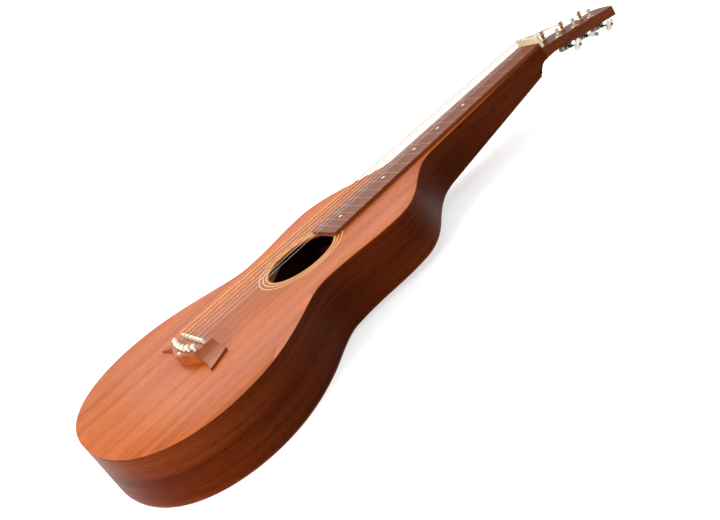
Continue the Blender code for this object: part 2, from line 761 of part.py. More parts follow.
def make_pins():
    """Six bridge pins with ball heads, each grooved for its string."""
    head = PIN_HEAD_RADIUS
    profile = [(0.0, 0.0082), (head * 0.55, 0.0077), (head * 0.90, 0.0062), (head, 0.0045),
               (head * 0.88, 0.0028), (PIN_SHAFT_RADIUS, 0.0015), (PIN_SHAFT_RADIUS, -0.0100),
               (PIN_TIP_RADIUS, -PIN_LENGTH + 0.0015), (PIN_TIP_RADIUS * 0.5, -PIN_LENGTH),
               (0.0, -PIN_LENGTH)]
    for number in range(1, 7):
        pin = turned(f"bridge_pin_{number}", profile, SHAFT_STEPS)
        pin.location = pin_place(number)
        route = string_route(number)[:4]
        groove = curve_to_mesh(tube(f"pin_groove_cut_{number}", route_start(route),
                                    STRING_RADII[number - 1] + STRING_CLEARANCE, 2, CUTTERS))
        boolean(pin, groove)
        dress(pin, "bone")


def route_start(route):
    """The same route with its lower end carried on, so that a groove runs out."""
    first = route[0] + Vector((0.0, 0.0, -0.01))
    return [first] + route[1:]


# Strings

def string_route(number):
    """Whole way of one string: up its pin's groove, over saddle and nut, round its post."""
    radius = STRING_RADII[number - 1]
    pin = pin_place(number)
    x_saddle = string_x(number, SADDLE_SPREAD)
    x_nut = string_x(number, NUT_SPREAD)
    y_groove = pin.y + PIN_FLUTE_OFFSET
    crown = TOP_Z + SADDLE_TOP + radius + GAP
    points = [
        Vector((pin.x, y_groove, pin.z - STRING_TAIL_BELOW)),
        Vector((pin.x, y_groove, pin.z + radius + 0.0004)),
        Vector((x_saddle, SADDLE_MIDDLE_Y - 0.0010, crown - 0.0003)),
        Vector((x_saddle, SADDLE_MIDDLE_Y + 0.0006, crown)),
        Vector((x_nut, SCALE_LENGTH + 0.0006, TOP_Z + NUT_TOP)),
        Vector((x_nut, NUT_BACK_Y - 0.0008, TOP_Z + NUT_TOP - NUT_FALL)),
    ]
    return points + post_winding(number, points[-1])


def post_winding(number, start):
    """Meet the post on its inner side, wind down it and end in a short cut tail."""
    radius = STRING_RADII[number - 1]
    side = tuner_side(number)
    turn = -side
    place = tuner_place(number)
    local = HEAD_MATRIX.inverted() @ start
    coil_radius = POST_WAIST_RADIUS + GAP + radius
    away = Vector((place.x - local.x, place.y - local.y))
    lean = math.asin(coil_radius / away.length)
    heading = Matrix.Rotation(-turn * lean, 2) @ away.normalized()
    reach = math.sqrt(away.length_squared - coil_radius ** 2)
    touch = Vector((local.x, local.y)) + heading * reach
    first = math.atan2(touch.y - place.y, touch.x - place.x)
    pitch = 2 * radius + COIL_GAP
    points = []
    count = round(COIL_TURNS * COIL_STEPS)
    for i in range(count + 1):
        angle = first + turn * math.tau * i / COIL_STEPS
        points.append(Vector((place.x + coil_radius * math.cos(angle),
                              place.y + coil_radius * math.sin(angle),
                              COIL_TOP - pitch * i / COIL_STEPS)))
    points.append(points[-1] + (points[-1] - points[-2]).normalized() * COIL_TAIL)
    return [HEAD_MATRIX @ point for point in points]


def least_gap_to_itself(points, radius):
    """Smallest clear distance between parts of a wound wire half a turn or more apart."""
    least = 1.0
    for i, point in enumerate(points):
        for other in points[i + COIL_STEPS // 2:]:
            least = min(least, (other - point).length - 2 * radius)
    return least


def make_strings():
    """Six strings, the four lower ones wound with bronze."""
    for number in range(1, 7):
        route = string_route(number)
        radius = STRING_RADII[number - 1]
        string = tube(f"string_{number}", route, radius)
        dress(string, "steel_string" if number < 3 else "bronze_string")
        gap = least_gap_to_itself(route[6:], radius)
        print(f"string_{number} least gap to itself {gap * 1000:.2f} mm")


def make_nut():
    """Tall bone nut with a slot for each string."""
    low = TOP_Z - HEAD_DROP + GAP
    top = TOP_Z + NUT_TOP
    view = [(SCALE_LENGTH, low), (NUT_BACK_Y, low), (NUT_BACK_Y, top - NUT_FALL - 0.0005),
            (NUT_BACK_Y - 0.0006, top - NUT_FALL), (SCALE_LENGTH + 0.0005, top),
            (SCALE_LENGTH, top - 0.0004)]
    nut = prism("nut", view, "YZ", -NUT_HALF, NUT_HALF)
    for number in range(1, 7):
        route = string_route(number)[3:7]
        slot = curve_to_mesh(tube(f"nut_slot_cut_{number}", route,
                                  STRING_RADII[number - 1] + STRING_CLEARANCE, 2, CUTTERS))
        boolean(nut, slot)
    dress(nut, "bone")


# Tuners

def tuner_side(number):
    """1 for the treble side, -1 for the bass side."""
    return 1 if number <= 3 else -1


def tuner_place(number):
    """Foot of a post on the head's face, in the head's own frame."""
    row = min(number - 1, 6 - number)
    x = POST_HALF_SPREAD - POST_SPREAD_STEP * row
    return Vector((tuner_side(number) * x, POST_FIRST_Y + POST_PITCH * row, 0.0))


def tuner_matrix(number):
    """Frame of one tuner: Z up its post."""
    return HEAD_MATRIX @ Matrix.Translation(tuner_place(number))


def mirrored(mesh, side):
    """The mesh itself for the treble side, its mirror image for the bass side."""
    if side < 0:
        mesh.transform(Matrix.Scale(-1.0, 4, (1.0, 0.0, 0.0)))
        mesh.flip_normals()
    return mesh


def finished_mesh(item):
    """Take an object's evaluated mesh, welded, and remove the object."""
    solid = curve_to_mesh(item)
    mesh = solid.data
    mesh.transform(solid.matrix_world)
    bpy.data.objects.remove(solid, do_unlink=True)
    return mesh


def gear_mesh(side):
    """Post and gear in one: a turned post with a cross hole, a toothed wheel low on it."""
    gear_middle = -WORM_AXIS_DROP
    low = gear_middle - GEAR_WIDTH / 2
    high = gear_middle + GEAR_WIDTH / 2
    bevel = 0.0006
    profile = [(0.0, POST_TOP), (POST_CAP_RADIUS - bevel, POST_TOP),
               (POST_CAP_RADIUS, POST_TOP - bevel), (POST_CAP_RADIUS, POST_WAIST[1] + bevel),
               (POST_WAIST_RADIUS, POST_WAIST[1]), (POST_WAIST_RADIUS, POST_WAIST[0]),
               (POST_RADIUS, POST_WAIST[0] - bevel), (POST_RADIUS, high + 0.0003),
               (POST_RADIUS - bevel, low - 0.0010), (0.0, low - 0.0016)]
    post = curve_to_mesh(turned("post_blank", profile, SHAFT_STEPS))
    boolean(post, gear_wheel(low, high), "UNION")
    hole = cylinder("string_hole_cut", STRING_HOLE_RADIUS, -0.01, 0.01, 8, CUTTERS)
    hole.rotation_euler = (0.0, math.pi / 2, math.radians(35.0))
    hole.location.z = (POST_WAIST[0] + POST_WAIST[1]) / 2
    boolean(post, hole)
    return mirrored(finished_mesh(post), side)


def gear_wheel(low, high):
    """Toothed wheel whose teeth slant to follow the worm."""
    outer = GEAR_PITCH_RADIUS + TOOTH_OUT
    root = GEAR_PITCH_RADIUS - TOOTH_IN
    pitch_angle = math.tau / GEAR_TEETH
    tooth = GEAR_TOOTH_SHARE * pitch_angle
    corners = ((-0.78, root), (-0.22, outer), (0.22, outer), (0.78, root))
    lean = WORM_LEAD / (math.tau * WORM_PITCH_RADIUS)
    twist = lean * GEAR_WIDTH / 2 / GEAR_PITCH_RADIUS
    rows = []
    for height, turn in ((low, twist), (high, -twist)):
        row = []
        for index in range(GEAR_TEETH):
            middle = index * pitch_angle + math.pi / 2 + turn
            for share, radius in corners:
                angle = middle + share * tooth
                row.append((radius * math.cos(angle), radius * math.sin(angle), height))
        rows.append(row)
    count = len(rows[0])
    faces = [tuple(reversed(range(count))), tuple(range(count, 2 * count))]
    for i in range(count):
        after = (i + 1) % count
        faces.append((i, after, count + after, count + i))
    mesh = bpy.data.meshes.new("gear_wheel")
    mesh.from_pydata(rows[0] + rows[1], [], faces)
    wheel = bpy.data.objects.new("gear_wheel", mesh)
    CUTTERS.objects.link(wheel)
    return wheel


def worm_thread():
    """Helical thread of the worm, a four-sided section carried along a helix round X."""
    root = WORM_PITCH_RADIUS - TOOTH_IN - 0.0002
    outer = WORM_PITCH_RADIUS + TOOTH_OUT
    base_half = WORM_TOOTH_SHARE * WORM_LEAD * 0.78
    tip_half = WORM_TOOTH_SHARE * WORM_LEAD * 0.24
    section = ((root, -base_half), (outer, -tip_half), (outer, tip_half), (root, base_half))
    count = round(WORM_TURNS * WORM_STEPS)
    verts = []
    for i in range(count + 1):
        turn = i / WORM_STEPS - WORM_TURNS / 2 - 0.5
        angle = math.tau * turn
        for radius, shift in section:
            verts.append((WORM_LEAD * (turn + 0.5) + shift, -radius * math.cos(angle),
                          radius * math.sin(angle)))
    faces = [(0, 1, 2, 3), tuple(4 * count + k for k in (3, 2, 1, 0))]
    for i in range(count):
        for k in range(4):
            a, b = 4 * i + k, 4 * i + (k + 1) % 4
            faces.append((a, a + 4, b + 4, b))
    mesh = bpy.data.meshes.new("worm_thread")
    mesh.from_pydata(verts, [], faces)
    weld(mesh)
    thread = bpy.data.objects.new("worm_thread", mesh)
    CUTTERS.objects.link(thread)
    return thread


def worm_mesh(side):
    """Shaft along X with the worm, a collar and the small cap that holds the button."""
    ear_end = EAR_X + EAR_THICKNESS
    button_out = BUTTON_MIDDLE_X + BUTTON_WIDTH / 2
    core = WORM_PITCH_RADIUS - TOOTH_IN
    profile = [(0.0, button_out + GAP + END_CAP_LENGTH),
               (END_CAP_RADIUS * 0.7, button_out + GAP + END_CAP_LENGTH),
               (END_CAP_RADIUS, button_out + GAP + END_CAP_LENGTH * 0.5),
               (END_CAP_RADIUS, button_out + GAP), (SHAFT_RADIUS, button_out + GAP),
               (SHAFT_RADIUS, EAR_X - GAP), (core, EAR_X - GAP), (core, -EAR_X + GAP),
               (SHAFT_RADIUS, -EAR_X + GAP), (SHAFT_RADIUS, -ear_end - 0.0004), (0.0, -ear_end - 0.0004)]
    shaft = turned("worm_blank", profile, SHAFT_STEPS)
    shaft.rotation_euler = (0.0, math.pi / 2, 0.0)
    shaft = curve_to_mesh(shaft)
    boolean(shaft, worm_thread(), "UNION")
    return mirrored(finished_mesh(shaft), side)


def plate_mesh(side):
    """Mounting plate with two ears that carry the worm's shaft."""
    top = -HEAD_THICKNESS - GAP
    low = top - PLATE_THICKNESS
    corner = 0.0015
    x0, x1 = PLATE_X
    y0, y1 = PLATE_Y
    outline = [(x0 + corner, y0), (x1 - corner, y0), (x1, y0 + corner), (x1, y1 - corner),
               (x1 - corner, y1), (x0 + corner, y1), (x0, y1 - corner), (x0, y0 + corner)]
    plate = prism("plate_blank", outline, "XY", low, top)
    axis_z = -WORM_AXIS_DROP
    for end in (-1, 1):
        ear = [(EAR_START_Y, top - PLATE_THICKNESS / 2)]
        for i in range(6):
            angle = math.pi + math.pi * i / 5
            ear.append((MESH_DISTANCE + EAR_RADIUS * math.cos(angle), axis_z + EAR_RADIUS * math.sin(angle)))
        ear.append((MESH_DISTANCE + EAR_RADIUS, top - PLATE_THICKNESS / 2))
        start = EAR_X if end > 0 else -EAR_X - EAR_THICKNESS
        bracket = prism(f"ear_{end}", ear, "YZ", start, start + EAR_THICKNESS, CUTTERS)
        boolean(plate, bracket, "UNION")
    bore = cylinder("worm_bore_cut", SHAFT_RADIUS + HOLE_CLEARANCE, -0.02, 0.02, BORE_STEPS, CUTTERS)
    bore.rotation_euler = (0.0, math.pi / 2, 0.0)
    bore.location = (0.0, MESH_DISTANCE, axis_z)
    boolean(plate, bore)
    hole = cylinder("plate_hole_cut", POST_RADIUS + HOLE_CLEARANCE, -0.03, 0.0, BORE_STEPS, CUTTERS)
    boolean(plate, hole)
    return mirrored(finished_mesh(plate), side)


def button_mesh(side):
    """Bean-shaped button: an oval with a hollow in its outer edge, and rounded rims."""
    count = 14
    half_x = BUTTON_WIDTH / 2 - BUTTON_ROUNDING
    half_y = BUTTON_LENGTH / 2 - BUTTON_ROUNDING
    outline = []
    for i in range(count):
        angle = math.tau * i / count
        x = half_x * math.cos(angle)
        y = half_y * math.sin(angle)
        dip = 0.0009 * math.exp(-(y / 0.0035) ** 2) if x > 0 else 0.0
        outline.append((x - dip, y))
    curve = bpy.data.curves.new("button_blank", "CURVE")
    curve.dimensions = "2D"
    curve.fill_mode = "BOTH"
    curve.extrude = BUTTON_THICKNESS / 2 - BUTTON_ROUNDING
    curve.bevel_depth = BUTTON_ROUNDING
    curve.bevel_resolution = 1
    spline = curve.splines.new("POLY")
    spline.points.add(count - 1)
    for point, (x, y) in zip(spline.points, outline):
        point.co = (x, y, 0.0, 1.0)
    spline.use_cyclic_u = True
    blank = bpy.data.objects.new("button_blank", curve)
    PARTS.objects.link(blank)
    blank.location.x = BUTTON_MIDDLE_X
    blank = curve_to_mesh(blank)
    bore = cylinder("button_bore_cut", SHAFT_RADIUS + GAP, 0.0, 0.05, SHAFT_STEPS, CUTTERS)
    bore.rotation_euler = (0.0, math.pi / 2, 0.0)
    boolean(blank, bore)
    return mirrored(finished_mesh(blank), side)


def bushing_mesh():
    """Flanged bushing: flange on the head's face, ferrule down the hole."""
    bore = POST_RADIUS + HOLE_CLEARANCE
    profile = [(bore + 0.0006, GAP + BUSHING_HEIGHT), (BUSHING_RADIUS - 0.0008, GAP + BUSHING_HEIGHT * 0.6),
               (BUSHING_RADIUS, GAP), (FERRULE_RADIUS, GAP), (FERRULE_RADIUS, -FERRULE_DEPTH),
               (bore, -FERRULE_DEPTH), (bore, GAP + BUSHING_HEIGHT)]
    ring = turned("bushing_blank", profile, BORE_STEPS, closed=True)
    return finished_mesh(ring)


def empty(name, place, parent=None):
    """A frame for other objects to hang on."""
    item = bpy.data.objects.new(name, None)
    item.empty_display_size = 0.01
    PARTS.objects.link(item)
    item.parent = parent
    item.matrix_basis = place
    return item


def hang(name, mesh, parent, slot, place=None):
    """A part on its frame."""
    item = bpy.data.objects.new(name, mesh)
    PARTS.objects.link(item)
    item.parent = parent
    item.matrix_basis = place or Matrix.Identity(4)
    dress(item, slot)
    smooth(item)
    return item


def make_tuners():
    """Six open-gear tuners; the bass ones are the mirror image of the treble ones."""
    head_frame = empty("head_frame", HEAD_MATRIX)
    bushing = bushing_mesh()
    meshes = {}
    for side in (1, -1):
        meshes[side] = (plate_mesh(side), gear_mesh(side), worm_mesh(side), button_mesh(side))
    for number in range(1, 7):
        side = tuner_side(number)
        plate, gear, worm, button = meshes[side]
        frame = empty(f"tuner_frame_{number}", Matrix.Translation(tuner_place(number)), head_frame)
        hang(f"tuner_bushing_{number}", bushing, frame, "brass")
        hang(f"tuner_plate_{number}", plate, frame, "aged_metal")
        hang(f"tuner_post_{number}", gear, frame, "steel")
        axis = empty(f"worm_axis_{number}",
                     Matrix.Translation((0.0, MESH_DISTANCE, -WORM_AXIS_DROP)), frame)
        hang(f"tuner_worm_{number}", worm, axis, "aged_metal")
        turn = Matrix.Rotation(math.radians(BUTTON_TURNS[number - 1]), 4, "X")
        hang(f"tuner_button_{number}", button, axis, "button_cream", turn)
        post_point = tuner_matrix(number) @ Vector((0.0, 0.0, 0.0))
        worm_point = tuner_matrix(number) @ Vector((0.0, MESH_DISTANCE, -WORM_AXIS_DROP))
        print(f"tuner {number} post {tuple(round(v, 6) for v in post_point)}"
              f" worm {tuple(round(v, 6) for v in worm_point)}")


def main():
    """Build every sub-part."""
    scoop = make_scoop()
    make_soundboard()
    make_rings()
    make_back(scoop)
    make_sides(scoop)
    make_tail_block()
    make_head()
    make_fretboard()
    make_braces()
    make_bridge()
    make_saddle()
    make_pins()
    make_nut()
    make_strings()
    make_tuners()


main()
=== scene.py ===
# %% [markdown]
# This lesson finishes an acoustic lap steel guitar that lies on its back.  Its neck is hollow and
# one with the body, and it is played with a slide, so it has no frets.  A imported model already
# gives every piece its place and its joints, in metres.  The cells below lay smooth shells over
# the faceted pieces, let in the inlays, and give each piece its wood, bone or metal.

# %% Load the frame
import json
import math

import bmesh
import bpy
import numpy as np
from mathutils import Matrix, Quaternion, Vector


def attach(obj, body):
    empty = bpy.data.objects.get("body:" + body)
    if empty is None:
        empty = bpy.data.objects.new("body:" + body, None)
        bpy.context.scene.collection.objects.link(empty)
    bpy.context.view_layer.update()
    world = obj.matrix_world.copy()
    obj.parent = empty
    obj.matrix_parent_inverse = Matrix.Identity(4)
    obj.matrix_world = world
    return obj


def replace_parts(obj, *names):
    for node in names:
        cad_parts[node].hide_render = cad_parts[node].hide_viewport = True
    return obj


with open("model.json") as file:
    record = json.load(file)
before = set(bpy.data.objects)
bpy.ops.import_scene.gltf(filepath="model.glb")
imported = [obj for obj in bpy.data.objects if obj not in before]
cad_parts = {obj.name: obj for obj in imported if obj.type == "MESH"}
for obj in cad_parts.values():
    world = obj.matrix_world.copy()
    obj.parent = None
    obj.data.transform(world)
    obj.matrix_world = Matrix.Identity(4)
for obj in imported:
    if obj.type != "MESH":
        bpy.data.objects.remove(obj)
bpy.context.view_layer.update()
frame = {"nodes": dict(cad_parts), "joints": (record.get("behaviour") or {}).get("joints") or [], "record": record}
nodes = frame["nodes"]

# %% [markdown]
# The camera comes first, because it decides what is worth detail.  It stands at the treble side
# and a little behind the tail.  A camera could be aimed by a constraint, but a fixed turn is
# simpler to read: one rotation points it at the guitar, and a second one rolls it about its own
# line of sight, which makes the guitar climb across the frame.

# %% Camera
CAMERA_PLACE = Vector((1.1802, -0.2555, 0.4936))
CAMERA_AIM = Vector((0.0, 0.2322, 0.0173))
CAMERA_ROLL = math.radians(34.97)
CAMERA_LENS = 52.12
SENSOR_WIDTH = 36.0

camera_data = bpy.data.cameras.new("camera")
camera_data.lens = CAMERA_LENS
camera_data.sensor_width = SENSOR_WIDTH
camera = bpy.data.objects.new("camera", camera_data)
bpy.context.scene.collection.objects.link(camera)
camera.location = CAMERA_PLACE
camera.rotation_mode = "QUATERNION"
level = (CAMERA_AIM - CAMERA_PLACE).to_track_quat("-Z", "Y")
camera.rotation_quaternion = level @ Quaternion((0.0, 0.0, 1.0), -CAMERA_ROLL)
bpy.context.scene.camera = camera
bpy.context.scene.view_settings.view_transform = "Standard"
print("camera", tuple(round(v, 3) for v in camera.location))

# %% [markdown]
# A new piece is made from whole arrays of points and faces, which is fast and keeps its shape in
# one formula.  The first helper welds doubled points, turns the faces outward, and hands the piece
# to the body it moves with.  The second one gives part of a piece another finish, as on a
# soundboard whose rim wears the darker finish of the sides, with their shade painted into its colour.

# %% Helpers for pieces
WELD_DISTANCE = 1e-6


def finish_piece(name, points, faces, material, body="instrument", sharp=40.0):
    """Mesh from an array of points and a list of faces, welded, smooth, on its body."""
    mesh = bpy.data.meshes.new(name)
    mesh.from_pydata(np.asarray(points, dtype=float).reshape(-1, 3), [], faces)
    work = bmesh.new()
    work.from_mesh(mesh)
    bmesh.ops.remove_doubles(work, verts=work.verts, dist=WELD_DISTANCE)
    bmesh.ops.recalc_face_normals(work, faces=work.faces)
    work.to_mesh(mesh)
    work.free()
    mesh.materials.append(material)
    mesh.shade_smooth()
    mesh.set_sharp_from_angle(angle=math.radians(sharp))
    piece = bpy.data.objects.new(name, mesh)
    bpy.context.scene.collection.objects.link(piece)
    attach(piece, body)
    return piece


def second_finish(piece, finish, chosen):
    """Give the faces that a test of their middles and normals picks another finish."""
    mesh = piece.data
    count = len(mesh.polygons)
    place, normal = np.empty(count * 3), np.empty(count * 3)
    mesh.polygons.foreach_get("center", place)
    mesh.polygons.foreach_get("normal", normal)
    picked = chosen(place.reshape(-1, 3), normal.reshape(-1, 3))
    mesh.materials.append(FINISHES[finish])
    mesh.polygons.foreach_set("material_index", picked.astype(np.int32))


print("piece helpers ready")

# %% [markdown]
# Most of a guitar is either a strip carried along a line or a form turned on a lathe.  Both are
# grids of points, with rows along the piece and columns round it, so one function can join any
# such grid into faces.  A lathe needs only a profile, and the cosine and sine turn it.

# %% Grids and turned forms
def grid_faces(rows, columns, wrap_rows=False):
    """Faces of a closed tube of points: each joins a point, its neighbour and the two in the next row."""
    i = np.arange(rows if wrap_rows else rows - 1)
    i, j = (a.ravel() for a in np.meshgrid(i, np.arange(columns), indexing="ij"))
    i2, j2 = (i + 1) % rows, (j + 1) % columns
    return np.stack((i * columns + j, i * columns + j2, i2 * columns + j2, i2 * columns + j), 1).tolist()


def capped(rows, columns):
    """Faces of a tube-like grid, with its first and last row closed."""
    last = (rows - 1) * columns
    return grid_faces(rows, columns) + [list(range(columns))] + [list(range(last, last + columns))]


def revolve(profile, steps):
    """Round solid: a profile of (radius, height) turned about Z; ends on the axis close it."""
    angle = np.linspace(0.0, math.tau, steps, endpoint=False)
    r, z = np.array(profile, dtype=float).T
    points = np.stack((np.outer(r, np.cos(angle)), np.outer(r, np.sin(angle)),
                       np.repeat(z[:, None], steps, axis=1)), axis=2)
    return points, capped(len(profile), steps)


def brick(low, high):
    """Eight corners and six faces of a straight strip."""
    x, y, z = np.meshgrid(*zip(low, high), indexing="ij")
    corners = np.stack((x.ravel(), y.ravel(), z.ravel()), axis=1)
    return corners, [[0, 1, 3, 2], [4, 6, 7, 5], [0, 4, 5, 1], [2, 3, 7, 6], [0, 2, 6, 4], [1, 5, 7, 3]]


print("a brick has", len(brick((0, 0, 0), (1, 1, 1))[1]), "faces")

# %% [markdown]
# Procedural finishes are small networks of nodes.  These helpers each add one node with its
# values set and its inputs linked, so that a finish below reads like a recipe.

# %% Helpers for nodes
def new_group(name, inputs, outputs):
    """Shader node group with named sockets."""
    group = bpy.data.node_groups.new(name, "ShaderNodeTree")
    for label, kind, value in inputs:
        socket = group.interface.new_socket(label, in_out="INPUT", socket_type=kind)
        if value is not None:
            socket.default_value = value
    for label, kind in outputs:
        group.interface.new_socket(label, in_out="OUTPUT", socket_type=kind)
    return group, group.nodes.new("NodeGroupInput"), group.nodes.new("NodeGroupOutput")


def stretched_noise(group, vector, scale, detail, rough=0.55):
    """Noise on a stretched copy of the given vector."""
    stretch = group.nodes.new("ShaderNodeMapping")
    stretch.inputs["Scale"].default_value = scale
    noise = group.nodes.new("ShaderNodeTexNoise")
    noise.inputs["Scale"].default_value = 1.0
    noise.inputs["Detail"].default_value = detail
    noise.inputs["Roughness"].default_value = rough
    group.links.new(vector, stretch.inputs["Vector"])
    group.links.new(stretch.outputs["Vector"], noise.inputs["Vector"])
    return noise.outputs["Fac"]


def remap(group, value, low, high, to_low=0.0, to_high=1.0):
    """Carry a value from one range to another, held inside it."""
    node = group.nodes.new("ShaderNodeMapRange")
    for label, number in (("From Min", low), ("From Max", high), ("To Min", to_low), ("To Max", to_high)):
        node.inputs[label].default_value = number
    group.links.new(value, node.inputs["Value"])
    return node.outputs["Result"]


def blend_colours(group, factor, first, second, mode="MIX"):
    """Mix two colours, each a socket or a plain colour, by a factor."""
    node = group.nodes.new("ShaderNodeMix")
    node.data_type = "RGBA"
    node.blend_type = mode
    for source, index in ((factor, 0), (first, 6), (second, 7)):
        if isinstance(source, bpy.types.NodeSocket):
            group.links.new(source, node.inputs[index])
        else:
            node.inputs[index].default_value = source
    return node.outputs[2]


def arithmetic(group, operation, *values):
    """One step of arithmetic on sockets or plain numbers."""
    node = group.nodes.new("ShaderNodeMath")
    node.operation = operation
    for index, value in enumerate(values):
        if isinstance(value, bpy.types.NodeSocket):
            group.links.new(value, node.inputs[index])
        else:
            node.inputs[index].default_value = value
    return node.outputs[0]


print("node helpers ready")

# %% [markdown]
# Wood is the whole look of this guitar.  Straight-grained mahogany shows three things: broad
# ribbons that change with the light, fine streaks, and short dark pores.  Each is one noise that is
# stretched along the strings, so one node group makes them all, and each wood passes its colours
# in.  A picture of wood would have to be unwrapped onto every bent piece; a noise needs only the
# place of each point.

# %% Wood grain group
RIBBON_STRETCH = (38.0, 1.6, 38.0)      # cells in a metre across, along and up
STREAK_STRETCH = (330.0, 5.0, 330.0)
PORE_STRETCH = (1500.0, 70.0, 1500.0)
RIBBON_SHARE = 0.62                     # of the shade; the streaks give the rest

wood, wood_in, wood_out = new_group(
    "straight_grain",
    [("Vector", "NodeSocketVector", None), ("Dark", "NodeSocketColor", (0.2, 0.05, 0.02, 1.0)),
     ("Middle", "NodeSocketColor", (0.4, 0.13, 0.05, 1.0)),
     ("Light", "NodeSocketColor", (0.6, 0.25, 0.1, 1.0)), ("Pores", "NodeSocketFloat", 0.6)],
    [("Color", "NodeSocketColor"), ("Height", "NodeSocketFloat"), ("Roughness", "NodeSocketFloat")],
)
along = wood_in.outputs["Vector"]
ribbons = stretched_noise(wood, along, RIBBON_STRETCH, 3.0)
streaks = stretched_noise(wood, along, STREAK_STRETCH, 4.0, 0.65)
pores = stretched_noise(wood, along, PORE_STRETCH, 3.0, 0.6)
shade = arithmetic(wood, "ADD", arithmetic(wood, "MULTIPLY", ribbons, RIBBON_SHARE),
                   arithmetic(wood, "MULTIPLY", streaks, 1.0 - RIBBON_SHARE))
dark_half = blend_colours(wood, remap(wood, shade, 0.30, 0.52), wood_in.outputs["Dark"],
                          wood_in.outputs["Middle"])
colour = blend_colours(wood, remap(wood, shade, 0.48, 0.72), dark_half, wood_in.outputs["Light"])
pore_mask = arithmetic(wood, "MULTIPLY", remap(wood, pores, 0.56, 0.70), wood_in.outputs["Pores"])
pored = blend_colours(wood, pore_mask, colour, wood_in.outputs["Dark"], "MULTIPLY")
wood.links.new(pored, wood_out.inputs["Color"])
wood.links.new(arithmetic(wood, "SUBTRACT", streaks, pore_mask), wood_out.inputs["Height"])
wood.links.new(remap(wood, streaks, 0.3, 0.7, 0.30, 0.42), wood_out.inputs["Roughness"])
print("grain group with", len(wood.nodes), "nodes")

# %% [markdown]
# Each finish is one Principled shader.  The lacquer on old mahogany is thin and satin.  Its
# index of refraction is kept low, because the white room would otherwise lie over the wood as a
# veil and turn the red brown grey.  The sides bend round the outline, so their grain must not
# depend on X, only on the height and the place along the guitar: a stretch of nought takes X out.

# %% Wood finish
WOOD_RELIEF = 0.12


def new_material(name, coat=0.0, coat_roughness=0.1, metallic=0.0, roughness=0.5, specular=0.5):
    """Principled material with its plain numbers set, and its node tree."""
    material = bpy.data.materials.new(name)
    material.use_nodes = True
    tree = material.node_tree
    shader = tree.nodes["Principled BSDF"]
    shader.inputs["Coat Weight"].default_value = coat
    shader.inputs["Coat Roughness"].default_value = coat_roughness
    shader.inputs["Metallic"].default_value = metallic
    shader.inputs["Roughness"].default_value = roughness
    shader.inputs["Specular IOR Level"].default_value = specular
    return material, tree, shader


def add_bump(tree, shader, height, strength, distance=0.0002):
    """Relief from a height."""
    bump = tree.nodes.new("ShaderNodeBump")
    bump.inputs["Strength"].default_value = strength
    bump.inputs["Distance"].default_value = distance
    tree.links.new(height, bump.inputs["Height"])
    tree.links.new(bump.outputs["Normal"], shader.inputs["Normal"])


def wood_material(name, dark, middle, light, stretch=(1.0, 1.0, 1.0), pores=0.6, ior=1.3):
    """Satin wood with straight grain along Y, from three colours and an index of refraction."""
    material, tree, shader = new_material(name)
    shader.inputs["IOR"].default_value = ior
    place = tree.nodes.new("ShaderNodeTexCoord")
    mapping = tree.nodes.new("ShaderNodeMapping")
    mapping.inputs["Scale"].default_value = stretch
    grain = tree.nodes.new("ShaderNodeGroup")
    grain.node_tree = wood
    for label, value in (("Dark", dark), ("Middle", middle), ("Light", light)):
        grain.inputs[label].default_value = (*value, 1.0)
    grain.inputs["Pores"].default_value = pores
    tree.links.new(place.outputs["Object"], mapping.inputs["Vector"])
    tree.links.new(mapping.outputs["Vector"], grain.inputs["Vector"])
    tree.links.new(grain.outputs["Color"], shader.inputs["Base Color"])
    tree.links.new(grain.outputs["Roughness"], shader.inputs["Roughness"])
    add_bump(tree, shader, grain.outputs["Height"], WOOD_RELIEF)
    return material


print("wood finish ready")

# %% [markdown]
# Bone, cream plastic and old metal are never one flat tone.  Two close tones in soft patches, with
# a gloss that changes a little with them, are enough for all three.  A wound string needs
# more: its turns and the painted shade of its grooves are a wave along the string, at the pitch
# of the winding.

# %% Bone, metal and string finishes
WAVE_CYCLES = 0.314                     # the Wave texture's scale for one band in a metre
SMOOTHEST = 0.8                         # a patch's roughness against the finish's own
ROUGHEST = 1.25
PATCH_COAT_ROUGHNESS = 0.08


def mottled_material(name, first, second, scale, roughness, metallic=0.0, coat=0.0, bump=0.05):
    """Bone, plastic or metal: two close tones in soft patches, and slightly uneven gloss."""
    material, tree, shader = new_material(name, coat, PATCH_COAT_ROUGHNESS, metallic, roughness)
    place = tree.nodes.new("ShaderNodeTexCoord")
    patches = stretched_noise(tree, place.outputs["Object"], (scale, scale, scale), 4.0)
    spread = remap(tree, patches, 0.35, 0.65)
    tree.links.new(blend_colours(tree, spread, (*first, 1.0), (*second, 1.0)), shader.inputs["Base Color"])
    tree.links.new(remap(tree, patches, 0.3, 0.7, roughness * SMOOTHEST, roughness * ROUGHEST),
                   shader.inputs["Roughness"])
    add_bump(tree, shader, patches, bump)
    return material


def wrapped_material(name, turn_colour, groove_shade_colour, pitch, roughness):
    """Wound string: turns along Y, with the shade of one groove in every pitch painted darker."""
    material, tree, shader = new_material(name, metallic=1.0, roughness=roughness)
    place = tree.nodes.new("ShaderNodeTexCoord")
    turns = tree.nodes.new("ShaderNodeTexWave")
    turns.bands_direction = "Y"
    turns.inputs["Scale"].default_value = WAVE_CYCLES / pitch
    tree.links.new(place.outputs["Object"], turns.inputs["Vector"])
    # Painted shade: the grooves between the turns get the darker colour.
    spread = remap(tree, turns.outputs["Fac"], 0.1, 0.6)
    tree.links.new(blend_colours(tree, spread, (*groove_shade_colour, 1.0), (*turn_colour, 1.0)),
                   shader.inputs["Base Color"])
    add_bump(tree, shader, turns.outputs["Fac"], 0.4, 0.0001)
    return material


print("bone, metal and string finishes ready")
